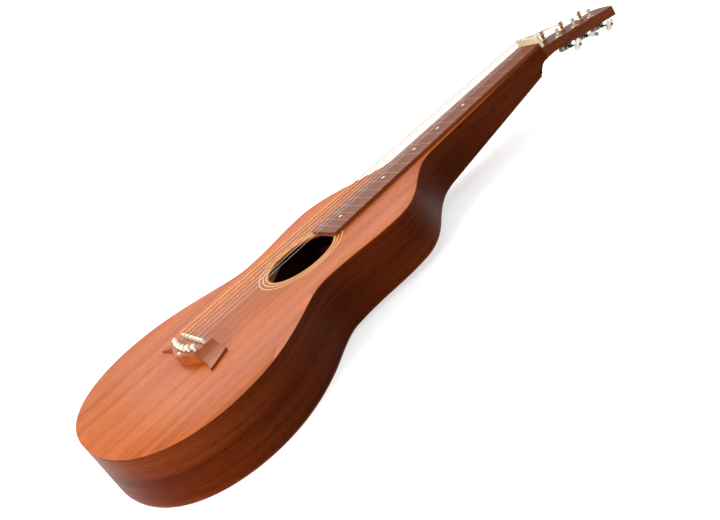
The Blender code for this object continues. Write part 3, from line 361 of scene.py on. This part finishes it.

# %% [markdown]
# The woods run from the orange top to the nearly black red of the sides, and each is given as a
# dark, a middle and a light tone.  The sides' near-black red is painted shade: the shade on them
# is painted into the colour of their mahogany.  The inlays are pale maple with hardly any pores.
# Plain metals are given as two tones, the size of the patches, the roughness, and a last 1 that
# makes them metal.

# %% Finishes
FINISHES = {
    "top_wood": wood_material("top_wood", (0.36, 0.070, 0.011), (0.54, 0.124, 0.022),
                              (0.68, 0.180, 0.038), pores=0.8, ior=1.12),
    # Painted shade: the sides' near-black tones are the shade on them, painted into the mahogany.
    "body_wood": wood_material("body_wood", (0.055, 0.0070, 0.0010), (0.125, 0.020, 0.0032),
                               (0.21, 0.042, 0.0080), (0.0, 1.0, 1.0), pores=0.8, ior=1.09),
    "back_wood": wood_material("back_wood", (0.090, 0.015, 0.0030), (0.17, 0.034, 0.0080),
                               (0.25, 0.060, 0.016), ior=1.14),
    "board_wood": wood_material("board_wood", (0.13, 0.028, 0.009), (0.23, 0.056, 0.019),
                                (0.32, 0.090, 0.034), ior=1.13),
    "bridge_wood": wood_material("bridge_wood", (0.24, 0.052, 0.012), (0.38, 0.094, 0.024),
                                 (0.50, 0.145, 0.042), ior=1.16),
    "inner_wood": wood_material("inner_wood", (0.30, 0.15, 0.07), (0.45, 0.25, 0.12),
                                (0.56, 0.34, 0.18)),
    "maple_line": wood_material("maple_line", (0.70, 0.42, 0.10), (0.82, 0.53, 0.15),
                                (0.90, 0.64, 0.22), pores=0.1, ior=1.2),
    "fret_line": wood_material("fret_line", (0.40, 0.20, 0.09), (0.50, 0.27, 0.12),
                               (0.58, 0.34, 0.16), pores=0.1, ior=1.2),
    "nut_bone": mottled_material("nut_bone", (0.90, 0.82, 0.55), (0.82, 0.72, 0.44), 160.0, 0.40),
    "bone": mottled_material("bone", (0.96, 0.93, 0.82), (0.92, 0.86, 0.68), 180.0, 0.30, coat=0.2),
    "button_cream": mottled_material("button_cream", (0.93, 0.91, 0.80), (0.88, 0.84, 0.68), 90.0,
                                     0.22, coat=0.2),
    # The second, darker colour is the painted shade in the grooves of the winding.
    "bronze_string": wrapped_material("bronze_string", (0.84, 0.46, 0.19), (0.50, 0.22, 0.07),
                                      0.0005, 0.32),
    "steel_string": mottled_material("steel_string", (0.74, 0.70, 0.62), (0.58, 0.54, 0.47),
                                     500.0, 0.28, 1.0),
    "brass": mottled_material("brass", (0.62, 0.48, 0.24), (0.48, 0.35, 0.16), 300.0, 0.26, 1.0),
    # aged_metal is a near-black metal; the screw slots wear it as painted shade.
    "aged_metal": mottled_material("aged_metal", (0.085, 0.070, 0.055), (0.15, 0.125, 0.095),
                                   260.0, 0.40, 1.0),
    "steel": mottled_material("steel", (0.27, 0.22, 0.16), (0.38, 0.32, 0.24), 260.0, 0.30, 1.0),
}
print(len(FINISHES), "finishes")

# %% [markdown]
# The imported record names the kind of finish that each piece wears, so one loop can dress all of
# them.  Two pieces are then dressed by hand: the head, which wears the wood of the back, and the
# nut, whose bone is yellower than the saddle's.

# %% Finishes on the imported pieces
record_slots = {row["node"]: row["material_slot"] for row in frame["record"]["subparts"]}
for node_name, node in nodes.items():
    node.data.materials.clear()
    node.data.materials.append(FINISHES[record_slots[node_name]])
nodes["head"].data.materials[0] = FINISHES["back_wood"]
nodes["nut"].data.materials[0] = FINISHES["nut_bone"]
print(len(nodes), "nodes dressed")

# %% [markdown]
# A guitar is drawn from its outline: the broad lower bout at the tail, the waist, the upper bout,
# and the neck.  Four cubic curves a side and one straight line give it.  At each bout and at the
# waist the outline runs along Y, so the curves are pulled from there along Y alone.  The bass half
# is the treble half mirrored.

# %% Outline
TAIL_Y = -0.1801
LOWER_BOUT = (0.1933, -0.0401)
WAIST = (0.1139, 0.1377)
UPPER_BOUT = (0.1278, 0.2508)
NECK_ROOT = (0.0362, 0.3930)
NECK_END = (0.0235, 0.6347)
TAIL_PULL = 0.1500
LOWER_PULLS = (-0.0612, 0.0865)         # toward the tail and toward the head
WAIST_PULLS = (-0.0373, 0.0517)
UPPER_PULLS = (-0.0459, 0.0562)
ROOT_PULL = 0.0553
CURVE_POINTS = (64, 48, 32, 48)
NECK_POINTS = 90


def pulled(point, distance):
    """A point moved along Y."""
    return point[0], point[1] + distance


def cubic(start, pull_start, pull_end, end, count):
    """Points of one cubic curve, without its last: weights s3, 3s2t, 3st2 and t3."""
    t = np.linspace(0.0, 1.0, count, endpoint=False)[:, None]
    s = 1.0 - t
    corners = [np.array(c) for c in (start, pull_start, pull_end, end)]
    return sum(w * c for w, c in zip((s ** 3, 3 * s * s * t, 3 * s * t * t, t ** 3), corners))


def half_outline():
    """Treble half of the outline, from the middle of the tail to the end of the neck."""
    taper = np.array(NECK_END) - np.array(NECK_ROOT)
    taper /= np.linalg.norm(taper)
    curves = (
        ((0.0, TAIL_Y), (TAIL_PULL, TAIL_Y), pulled(LOWER_BOUT, LOWER_PULLS[0]), LOWER_BOUT),
        (LOWER_BOUT, pulled(LOWER_BOUT, LOWER_PULLS[1]), pulled(WAIST, WAIST_PULLS[0]), WAIST),
        (WAIST, pulled(WAIST, WAIST_PULLS[1]), pulled(UPPER_BOUT, UPPER_PULLS[0]), UPPER_BOUT),
        (UPPER_BOUT, pulled(UPPER_BOUT, UPPER_PULLS[1]), NECK_ROOT - taper * ROOT_PULL, NECK_ROOT),
    )
    body = [cubic(*corners, count) for corners, count in zip(curves, CURVE_POINTS)]
    return np.vstack(body + [np.linspace(NECK_ROOT, NECK_END, NECK_POINTS)])


half = half_outline()
mirror = half[::-1][:-1] * (-1.0, 1.0)
whole = np.vstack((half, mirror))
print("outline", whole.shape, "half width", half[:, 0].max())

# %% [markdown]
# Seen from the side, the body is deepest at the tail.  The back lies flat there, then rises
# toward the head in two straight runs, and a round scoop is cut under the end of the neck.
# These lines are functions of Y alone, so every shell below can ask for its height.

# %% Side view
BACK_FLAT_END_Y = 0.070
BACK_BEND_Y = 0.352
BACK_SLOPE_BODY = 0.059
BACK_SLOPE_NECK = 0.093
SCOOP_RADIUS = 0.0180
SCOOP_CENTRE = (0.6305, 0.0372)


def back_height(y):
    """The back's outer face: flat, then two straight rises, each slope times the length it has run."""
    body_run = np.clip(y - BACK_FLAT_END_Y, 0.0, BACK_BEND_Y - BACK_FLAT_END_Y)
    return BACK_SLOPE_BODY * body_run + BACK_SLOPE_NECK * np.clip(y - BACK_BEND_Y, 0.0, None)


def lower_edge(y):
    """Where the sides end below: at the back, or at the circle of the scoop under the neck's end."""
    reach = np.clip(SCOOP_RADIUS ** 2 - (y - SCOOP_CENTRE[0]) ** 2, 0.0, None)
    scoop = np.where(reach > 0.0, SCOOP_CENTRE[1] + np.sqrt(reach), 0.0)
    return np.maximum(back_height(y), scoop)


print("the back has risen", round(float(back_height(NECK_END[1])), 4), "at the neck's end")

# %% [markdown]
# The soundboard is a thin plate with a round hole.  It could be a filled curve, but that leaves long
# thin triangles.  Here every point of the outline is joined to the point of the hole that faces
# it, and a section is carried round: the two faces of the plate and its rounded rims.  The outer rim
# wears the dark finish of the sides, whose colour has their shade painted in.

# %% Soundboard
TOP_Z = 0.0757
TOP_THICKNESS = 0.0030
HOLE_Y = 0.1676
HOLE_RADIUS = 0.0492
HOLE_CLEAR = 0.01                       # beyond this distance from the hole, a rim is the outer one
EDGE_ROUND = 0.0007
EDGE_CORNER = 0.3 * EDGE_ROUND          # how far the middle of a rounded edge lies inside its corner
FACE_SHARES = (0.35, 0.7)               # where the top's face is cut between hole and rim
UPRIGHT = 0.3                           # a face's normal rises less than this on a rim


def make_soundboard():
    """Grid between hole and outline: place = hole + share x (outline - hole), at each height."""
    centre = np.array((0.0, HOLE_Y))
    ray = whole - centre
    length = np.linalg.norm(ray, axis=1, keepdims=True)
    hole = centre + ray / length * HOLE_RADIUS
    low, high, r, corner = TOP_Z - TOP_THICKNESS, TOP_Z, EDGE_ROUND, EDGE_CORNER
    hole_rim = [(0.0, 0.0, low), (0.0, 0.0, high - r), (0.0, corner, high - corner), (0.0, r, high)]
    face = [(share, 0.0, high) for share in FACE_SHARES]
    outer_rim = [(1.0, -r, high), (1.0, -corner, high - corner), (1.0, 0.0, high - r), (1.0, 0.0, low)]
    section = hole_rim + face + outer_rim
    rows = []
    for share, push, z in section:
        plan = hole + share * (whole - hole) + push * ray / length
        rows.append(np.column_stack((plan, np.full(len(plan), z))))
    faces = grid_faces(len(section), len(whole), wrap_rows=True)
    piece = finish_piece("soundboard_shell", rows, faces, FINISHES["top_wood"])
    # The outer rim wears the sides' finish, with its painted shade.
    second_finish(piece, "body_wood", lambda place, normal: (abs(normal[:, 2]) < UPRIGHT)
                  & (np.hypot(place[:, 0], place[:, 1] - HOLE_Y) > HOLE_RADIUS + HOLE_CLEAR))
    return piece


soundboard = make_soundboard()
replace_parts(soundboard, "soundboard")
print("soundboard", len(soundboard.data.polygons), "faces")

# %% [markdown]
# The rosette round the hole is three thin maple rings let into the top.  Each is a four-cornered
# section turned about the hole, and it stands a hair above the wood, so that the two surfaces
# don't lie in one plane.

# %% Rosette
RING_RADII = (0.0522, 0.05725, 0.0633)
RING_WIDTH = 0.0015
RING_DEPTH = 0.001
RING_STEPS = 160
INLAY_RISE = 0.00005

for number, radius in enumerate(RING_RADII, start=1):
    inner, outer = radius - RING_WIDTH / 2, radius + RING_WIDTH / 2
    low, high = TOP_Z - RING_DEPTH, TOP_Z + INLAY_RISE
    points, faces = revolve([(inner, low), (outer, low), (outer, high), (inner, high)], RING_STEPS)
    points[..., 1] += HOLE_Y
    ring = finish_piece(f"rosette_line_{number}", points, grid_faces(4, RING_STEPS, wrap_rows=True),
                        FINISHES["maple_line"])
    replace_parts(ring, f"rosette_ring_{number}")
print("rosette of", len(RING_RADII), "lines")

# %% [markdown]
# Each side is one strip of wood, bent over a hot pipe on the real guitar.  A strip with an even
# thickness needs the outline's normal at every point: the tangent, turned by a right angle.  The
# strip's four corners then follow the outline, and its lower edge follows the side view.

# %% Sides
SIDE_THICKNESS = 0.0025
BACK_THICKNESS = 0.0030
MIDDLE_GAP = 0.0001                     # half the joint of the two sides at the tail


def inward(points):
    """Unit normals of the half outline, pointing into the body: the tangent turned left."""
    tangent = np.gradient(points, axis=0)
    tangent[0] = (1.0, 0.0)
    tangent /= np.linalg.norm(tangent, axis=1, keepdims=True)
    return np.column_stack((-tangent[:, 1], tangent[:, 0]))


def make_side(name, side):
    """Strip: outer and inner edge at two heights for every point of the half outline."""
    outer = half.copy()
    inner = half + inward(half) * SIDE_THICKNESS
    outer[0, 0] = inner[0, 0] = MIDDLE_GAP
    low = np.maximum(lower_edge(outer[:, 1]), back_height(outer[:, 1]) + BACK_THICKNESS)
    high = np.full(len(outer), TOP_Z - TOP_THICKNESS)
    rows = np.stack([np.column_stack((plan * (side, 1.0), z))
                     for plan, z in ((outer, low), (outer, high), (inner, high), (inner, low))], axis=1)
    # The sides wear body_wood, whose near-black colour is painted shade.
    return finish_piece(f"{name}_shell", rows, capped(len(outer), 4), FINISHES["body_wood"])


for name, side in (("side_treble", 1.0), ("side_bass", -1.0)):
    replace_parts(make_side(name, side), name)
print("two sides")

# %% [markdown]
# The back is a plate that follows the two rises.  It is drawn as rows from one side of the outline
# to the other and back again on the inner face, and it ends where the scoop cuts it.  Its inner
# face is bare wood, because that is what shows through the sound hole.

# %% Back
BACK_ACROSS = 25                        # points across each of the plate's faces
BACK_END_Y = SCOOP_CENTRE[0] - 0.0176   # where the scoop's circle cuts the back
BACK_BEVEL = 0.4 * EDGE_ROUND
FACES_UP = 0.9                          # a face's normal rises more than this on the inner face


def make_back():
    """Rows across the body: x = share x half width, height from the bent back line."""
    stations = half[half[:, 1] < BACK_END_Y]
    share = np.linspace(-1.0, 1.0, BACK_ACROSS)
    share = np.concatenate((share, share[::-1]))
    lift = np.repeat((0.0, BACK_THICKNESS), BACK_ACROSS)
    pull = np.zeros(2 * BACK_ACROSS)
    lift[[0, BACK_ACROSS - 1]] += BACK_BEVEL
    pull[[0, BACK_ACROSS - 1]] = BACK_BEVEL
    x = np.clip(stations[:, :1] - pull, 0.0, None) * share
    y = np.repeat(stations[:, 1:], 2 * BACK_ACROSS, axis=1)
    z = back_height(y) + lift
    piece = finish_piece("back_shell", np.stack((x, y, z), axis=2), capped(len(stations), 2 * BACK_ACROSS),
                         FINISHES["back_wood"])
    second_finish(piece, "inner_wood", lambda place, normal: normal[:, 2] > FACES_UP)
    return piece


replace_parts(make_back(), "back_plate")
print("back of", BACK_ACROSS, "points across")

# %% [markdown]
# The fretboard has no frets: a slide does their work.  Light lines let into the wood show the
# places, each at the scale length divided by a power of the twelfth root of two.  A line is a
# thin brick that is as wide as the tapered board at its place.

# %% Position lines
SCALE_LENGTH = 0.635
BOARD_TOP = TOP_Z + 0.0050
BOARD_FROM = (0.2119, 0.03145)          # Y and half width at the body's end
BOARD_TO = (0.6347, 0.02245)            # and at the nut
LINE_COUNT = 18
LINE_WIDTH = 0.0007
LINE_DEPTH = 0.0011
LINE_INSET = 0.0002


def board_half(y):
    """Half width of the fretboard, straight from its end to the nut."""
    return BOARD_FROM[1] + (BOARD_TO[1] - BOARD_FROM[1]) * (y - BOARD_FROM[0]) / (BOARD_TO[0] - BOARD_FROM[0])


def semitone(number):
    """Place of a position line: the scale length over two to the number's twelfth part."""
    return SCALE_LENGTH * 2.0 ** (-number / 12)


for number in range(1, LINE_COUNT + 1):
    y = semitone(number)
    reach = board_half(y) - LINE_INSET
    points, faces = brick((-reach, y - LINE_WIDTH / 2, BOARD_TOP - LINE_DEPTH),
                          (reach, y + LINE_WIDTH / 2, BOARD_TOP + INLAY_RISE))
    finish_piece(f"position_line_{number}", points, faces, FINISHES["fret_line"])
print(LINE_COUNT, "lines")

# %% [markdown]
# Small round dots of bone help the eye to the fifth, seventh, ninth, twelfth and seventeenth place.
# Each lies halfway between its line and the one before it.

# %% Dots
DOT_PLACES = (5, 7, 9, 12, 17)
DOT_RADIUS = 0.0026
DOT_DEPTH = 0.0005
DOT_STEPS = 28

for number in DOT_PLACES:
    low, high = BOARD_TOP - DOT_DEPTH, BOARD_TOP + INLAY_RISE
    points, faces = revolve([(0.0, low), (DOT_RADIUS, low), (DOT_RADIUS, high), (0.0, high)], DOT_STEPS)
    points[..., 1] += (semitone(number) + semitone(number - 1)) / 2
    finish_piece(f"dot_{number}", points, faces, FINISHES["bone"])
print(len(DOT_PLACES), "dots")

# %% [markdown]
# A pale lozenge is let into the bridge's top behind the pins.  It is a turned form with only four
# steps: a square on its corner, stretched across the guitar.

# %% Lozenge
BRIDGE_TOP = TOP_Z + 0.0135
LOZENGE_Y = -0.0285
LOZENGE_HALF = (0.0045, 0.0022)
LOZENGE_DEPTH = 0.0006
CORNERS = 4

angle = np.linspace(0.0, math.tau, CORNERS, endpoint=False)
plan = np.column_stack((LOZENGE_HALF[0] * np.cos(angle), LOZENGE_Y + LOZENGE_HALF[1] * np.sin(angle)))
rows = [np.column_stack((plan, np.full(CORNERS, z)))
        for z in (BRIDGE_TOP - LOZENGE_DEPTH, BRIDGE_TOP + INLAY_RISE)]
finish_piece("bridge_lozenge", rows, capped(2, CORNERS), FINISHES["bone"])
print("lozenge")

# %% [markdown]
# A bridge pin holds the end of its string in the bridge.  It is turned bone: a ball head, a
# collar and a tapered shaft, so a profile of thirteen points is all it needs.  The six pins stand
# on a shallow bow, with the outer two nearest to the head.

# %% Bridge pins
PIN_SPAN = 0.0620
PIN_MIDDLE_Y = -0.0220
PIN_BOW = 0.0053
PIN_STEPS = 28
PIN_PROFILE = [(0.0, 0.0082), (0.0014, 0.0080), (0.0026, 0.0073), (0.0034, 0.0062), (0.00375, 0.0048),
               (0.0036, 0.0036), (0.0031, 0.0027), (0.0026, 0.0019), (0.0025, 0.0010), (0.0024, -0.0100),
               (0.0019, -0.0205), (0.0010, -0.0222), (0.0, -0.0225)]

for number in range(1, 7):
    x = PIN_SPAN * (0.5 - (number - 1) / 5)
    y = PIN_MIDDLE_Y + PIN_BOW * (2 * x / PIN_SPAN) ** 2
    points, faces = revolve(PIN_PROFILE, PIN_STEPS)
    pin = finish_piece(f"pin_{number}", points + (x, y, BRIDGE_TOP), faces, FINISHES["bone"])
    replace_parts(pin, f"bridge_pin_{number}")
print("six pins")

# %% [markdown]
# Tuner buttons are cream beans: a rounded slab, with a shallow dip in its outer edge.  A
# superellipsoid gives the slab in one formula, between a ball and a box.  Each button rides on
# its worm and is left at another turn, as on a guitar that has been tuned.

# %% Tuner buttons
BUTTON_TURNS = (39.0, 150.0, 42.0, 75.0, 20.0, 118.0)
BUTTON_SIZE = (0.0050, 0.00925, 0.0034)
BUTTON_MIDDLE = 0.0215
BUTTON_GRID = (20, 40)
SLAB_POWER = 0.62                       # 1 would be round, and nearly 0 square
PLAN_POWER = 0.86
DIP_DEPTH = 0.0009
DIP_REACH = 0.0035


def side_of(number):
    """Tuners 1 to 3 are on the treble side, and 4 to 6 on the bass side."""
    return 1.0 if number < 4 else -1.0


def worm_place(number):
    """Middle of a worm's axis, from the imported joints."""
    joint = next(j for j in frame["joints"] if j["name"] == f"worm_{number}_turn")
    return np.array(joint["pos_m"])


def signed_power(value, exponent):
    """A power of the size of each value, with the value's own sign."""
    return np.sign(value) * np.abs(value) ** exponent


def button_points(side, turn):
    """Superellipsoid: each axis is a signed power of the sphere's formula, with the outer edge dipped."""
    u = np.linspace(-math.pi / 2, math.pi / 2, BUTTON_GRID[0])[:, None]
    v = np.linspace(0.0, math.tau, BUTTON_GRID[1], endpoint=False)[None, :]
    flat = signed_power(np.cos(u), SLAB_POWER)
    x = BUTTON_SIZE[0] * flat * signed_power(np.cos(v), PLAN_POWER)
    y = BUTTON_SIZE[1] * flat * signed_power(np.sin(v), PLAN_POWER)
    z = BUTTON_SIZE[2] * signed_power(np.sin(u), SLAB_POWER) * np.ones_like(v)
    x = x - DIP_DEPTH * np.exp(-(y / DIP_REACH) ** 2) * (x > 0) * flat
    x = (x + BUTTON_MIDDLE) * side
    cos, sin = math.cos(turn), math.sin(turn)
    return np.stack((x, y * cos - z * sin, y * sin + z * cos), axis=2)


for number in range(1, 7):
    turn = math.radians(BUTTON_TURNS[number - 1])
    points = button_points(side_of(number), turn) + worm_place(number)
    button = finish_piece(f"button_{number}", points, capped(*BUTTON_GRID), FINISHES["button_cream"],
                          body=f"worm_{number}", sharp=80.0)
    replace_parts(button, f"tuner_button_{number}")
print("six buttons")

# %% [markdown]
# Every tuner plate is held under the head by two small round-head screws.  A screw's head is a
# shallow dome with a slot, so the dome is turned and the shade in the slot is painted as a dark bar
# in it.  The head leans back, so each screw is made in its tuner's own frame and then carried onto
# the head by a turn about X.

# %% Tuner screws
HEAD_ANGLE = math.radians(10.0)
HEAD_ORIGIN = np.array((0.0, 0.6413, TOP_Z - 0.0042))
HEAD_THICKNESS = 0.0142
PLATE_GAP = 0.0003
PLATE_THICKNESS = 0.0010
PLATE_UNDER = -HEAD_THICKNESS - PLATE_GAP - PLATE_THICKNESS
POST_FIRST = 0.0350
POST_PITCH = 0.0365
POST_SPREAD = 0.0163
POST_SPREAD_STEP = 0.00285
SCREW_PLACES = ((-0.0062, 0.0112), (-0.0066, -0.0062))
SCREW_PROFILE = [(0.0, 0.0010), (0.0009, 0.0009), (0.0015, 0.0005), (0.0018, 0.0), (0.0018, -0.0002),
                 (0.0, -0.0002)]
SCREW_STEPS = 20
SLOT_HALF = (0.0015, 0.0002)
SLOT_HEIGHTS = (0.00102, 0.0003)        # below the plate: just past the dome, and inside it


def on_head(points, number):
    """Carry points from a tuner's own frame onto the tilted head."""
    row = min(number - 1, 6 - number)
    side = side_of(number)
    place = np.array((side * (POST_SPREAD - POST_SPREAD_STEP * row), POST_FIRST + POST_PITCH * row, 0.0))
    x, y, z = np.moveaxis(points * (side, 1.0, 1.0) + place, -1, 0)
    cos, sin = math.cos(HEAD_ANGLE), math.sin(HEAD_ANGLE)
    return np.stack((x, y * cos + z * sin, z * cos - y * sin), axis=-1) + HEAD_ORIGIN


for number in range(1, 7):
    for index, (x, y) in enumerate(SCREW_PLACES):
        points, faces = revolve(SCREW_PROFILE, SCREW_STEPS)
        points = points * (1.0, 1.0, -1.0) + (x, y, PLATE_UNDER)
        finish_piece(f"plate_screw_{number}_{index}", on_head(points, number), faces,
                     FINISHES["steel"])
        # Painted shade: a dark bar of aged_metal stands where the slot's recess holds only shade.
        corners, faces = brick((x - SLOT_HALF[0], y - SLOT_HALF[1], PLATE_UNDER - SLOT_HEIGHTS[0]),
                               (x + SLOT_HALF[0], y + SLOT_HALF[1], PLATE_UNDER - SLOT_HEIGHTS[1]))
        finish_piece(f"painted_slot_shade_{number}_{index}", on_head(corners, number), faces,
                     FINISHES["aged_metal"])
print("twelve plate screws")

# %% [markdown]
# The guitar lies on a plain white floor in a white room.  More light would bleach the wood, so the
# floor and the world are pale by themselves, and only rays that come from the camera, off a
# gloss or through glass see them as pure white.  The guitar's shadow on the floor stays.

# %% Floor and world
WORLD_LIGHT = 0.42                      # how much the room lights the guitar
FLOOR_REACH = 14.0
FLOOR_DROP = 0.0005                     # keeps the floor clear of the back
FLOOR_TONE = 0.86
FLOOR_GLOW = 0.64                       # added where the floor is seen, to bring it to white


def white_rays(tree):
    """One for rays from the camera, from a reflection or through glass, else nothing."""
    path = tree.nodes.new("ShaderNodeLightPath")
    direct = arithmetic(tree, "MAXIMUM", path.outputs["Is Camera Ray"], path.outputs["Is Glossy Ray"])
    return arithmetic(tree, "MAXIMUM", direct, path.outputs["Is Transmission Ray"])


def pale_world():
    """World that is white to the eye and in reflections, and dimmer as a lamp."""
    world = bpy.data.worlds.new("studio")
    bpy.context.scene.world = world
    world.use_nodes = True
    tree = world.node_tree
    background = tree.nodes["Background"]
    background.inputs["Color"].default_value = (1.0, 1.0, 1.0, 1.0)
    strength = arithmetic(tree, "MAXIMUM", white_rays(tree), WORLD_LIGHT)
    tree.links.new(strength, background.inputs["Strength"])


def make_floor():
    """Large plain sheet under the guitar: one face, from its four corners."""
    mesh = bpy.data.meshes.new("floor")
    corners = np.array(((-1.0, -1.0), (1.0, -1.0), (1.0, 1.0), (-1.0, 1.0))) * FLOOR_REACH
    mesh.from_pydata(np.column_stack((corners, np.full(4, -FLOOR_DROP))), [], [[0, 1, 2, 3]])
    floor = bpy.data.objects.new("floor", mesh)
    bpy.context.scene.collection.objects.link(floor)
    material, tree, shader = new_material("floor", roughness=0.8, specular=0.0)
    shader.inputs["Base Color"].default_value = (FLOOR_TONE, FLOOR_TONE, FLOOR_TONE, 1.0)
    shader.inputs["Emission Color"].default_value = (1.0, 1.0, 1.0, 1.0)
    glow = arithmetic(tree, "MULTIPLY", white_rays(tree), FLOOR_GLOW)
    tree.links.new(glow, shader.inputs["Emission Strength"])
    mesh.materials.append(material)


pale_world()
make_floor()
print("floor and world")

# %% [markdown]
# The light comes from the bass side and from above: the top glows, and the side that faces the
# camera falls into deep brown.  One large soft lamp does that, and the shade painted into the
# sides' colour makes it deeper.  A second, smaller lamp low behind the tail brings out the end of
# the body.

# %% Lamps
KEY_PLACE = (-1.5, 0.7, 1.5)
KEY_AIM = (0.0, 0.15, 0.05)
KEY_SIZE = 1.6
KEY_WATTS = 42.0
TAIL_PLACE = (0.55, -1.7, 0.6)
TAIL_AIM = (0.05, -0.1, 0.05)
TAIL_SIZE = 1.0
TAIL_WATTS = 34.0


def soft_lamp(name, place, aim, size, watts):
    """Square area lamp turned toward a point."""
    data = bpy.data.lights.new(name, "AREA")
    data.size = size
    data.energy = watts
    lamp = bpy.data.objects.new(name, data)
    bpy.context.scene.collection.objects.link(lamp)
    lamp.location = place
    lamp.rotation_mode = "QUATERNION"
    lamp.rotation_quaternion = (Vector(aim) - Vector(place)).to_track_quat("-Z", "Y")


soft_lamp("key", KEY_PLACE, KEY_AIM, KEY_SIZE, KEY_WATTS)
soft_lamp("tail", TAIL_PLACE, TAIL_AIM, TAIL_SIZE, TAIL_WATTS)
print("two lamps")
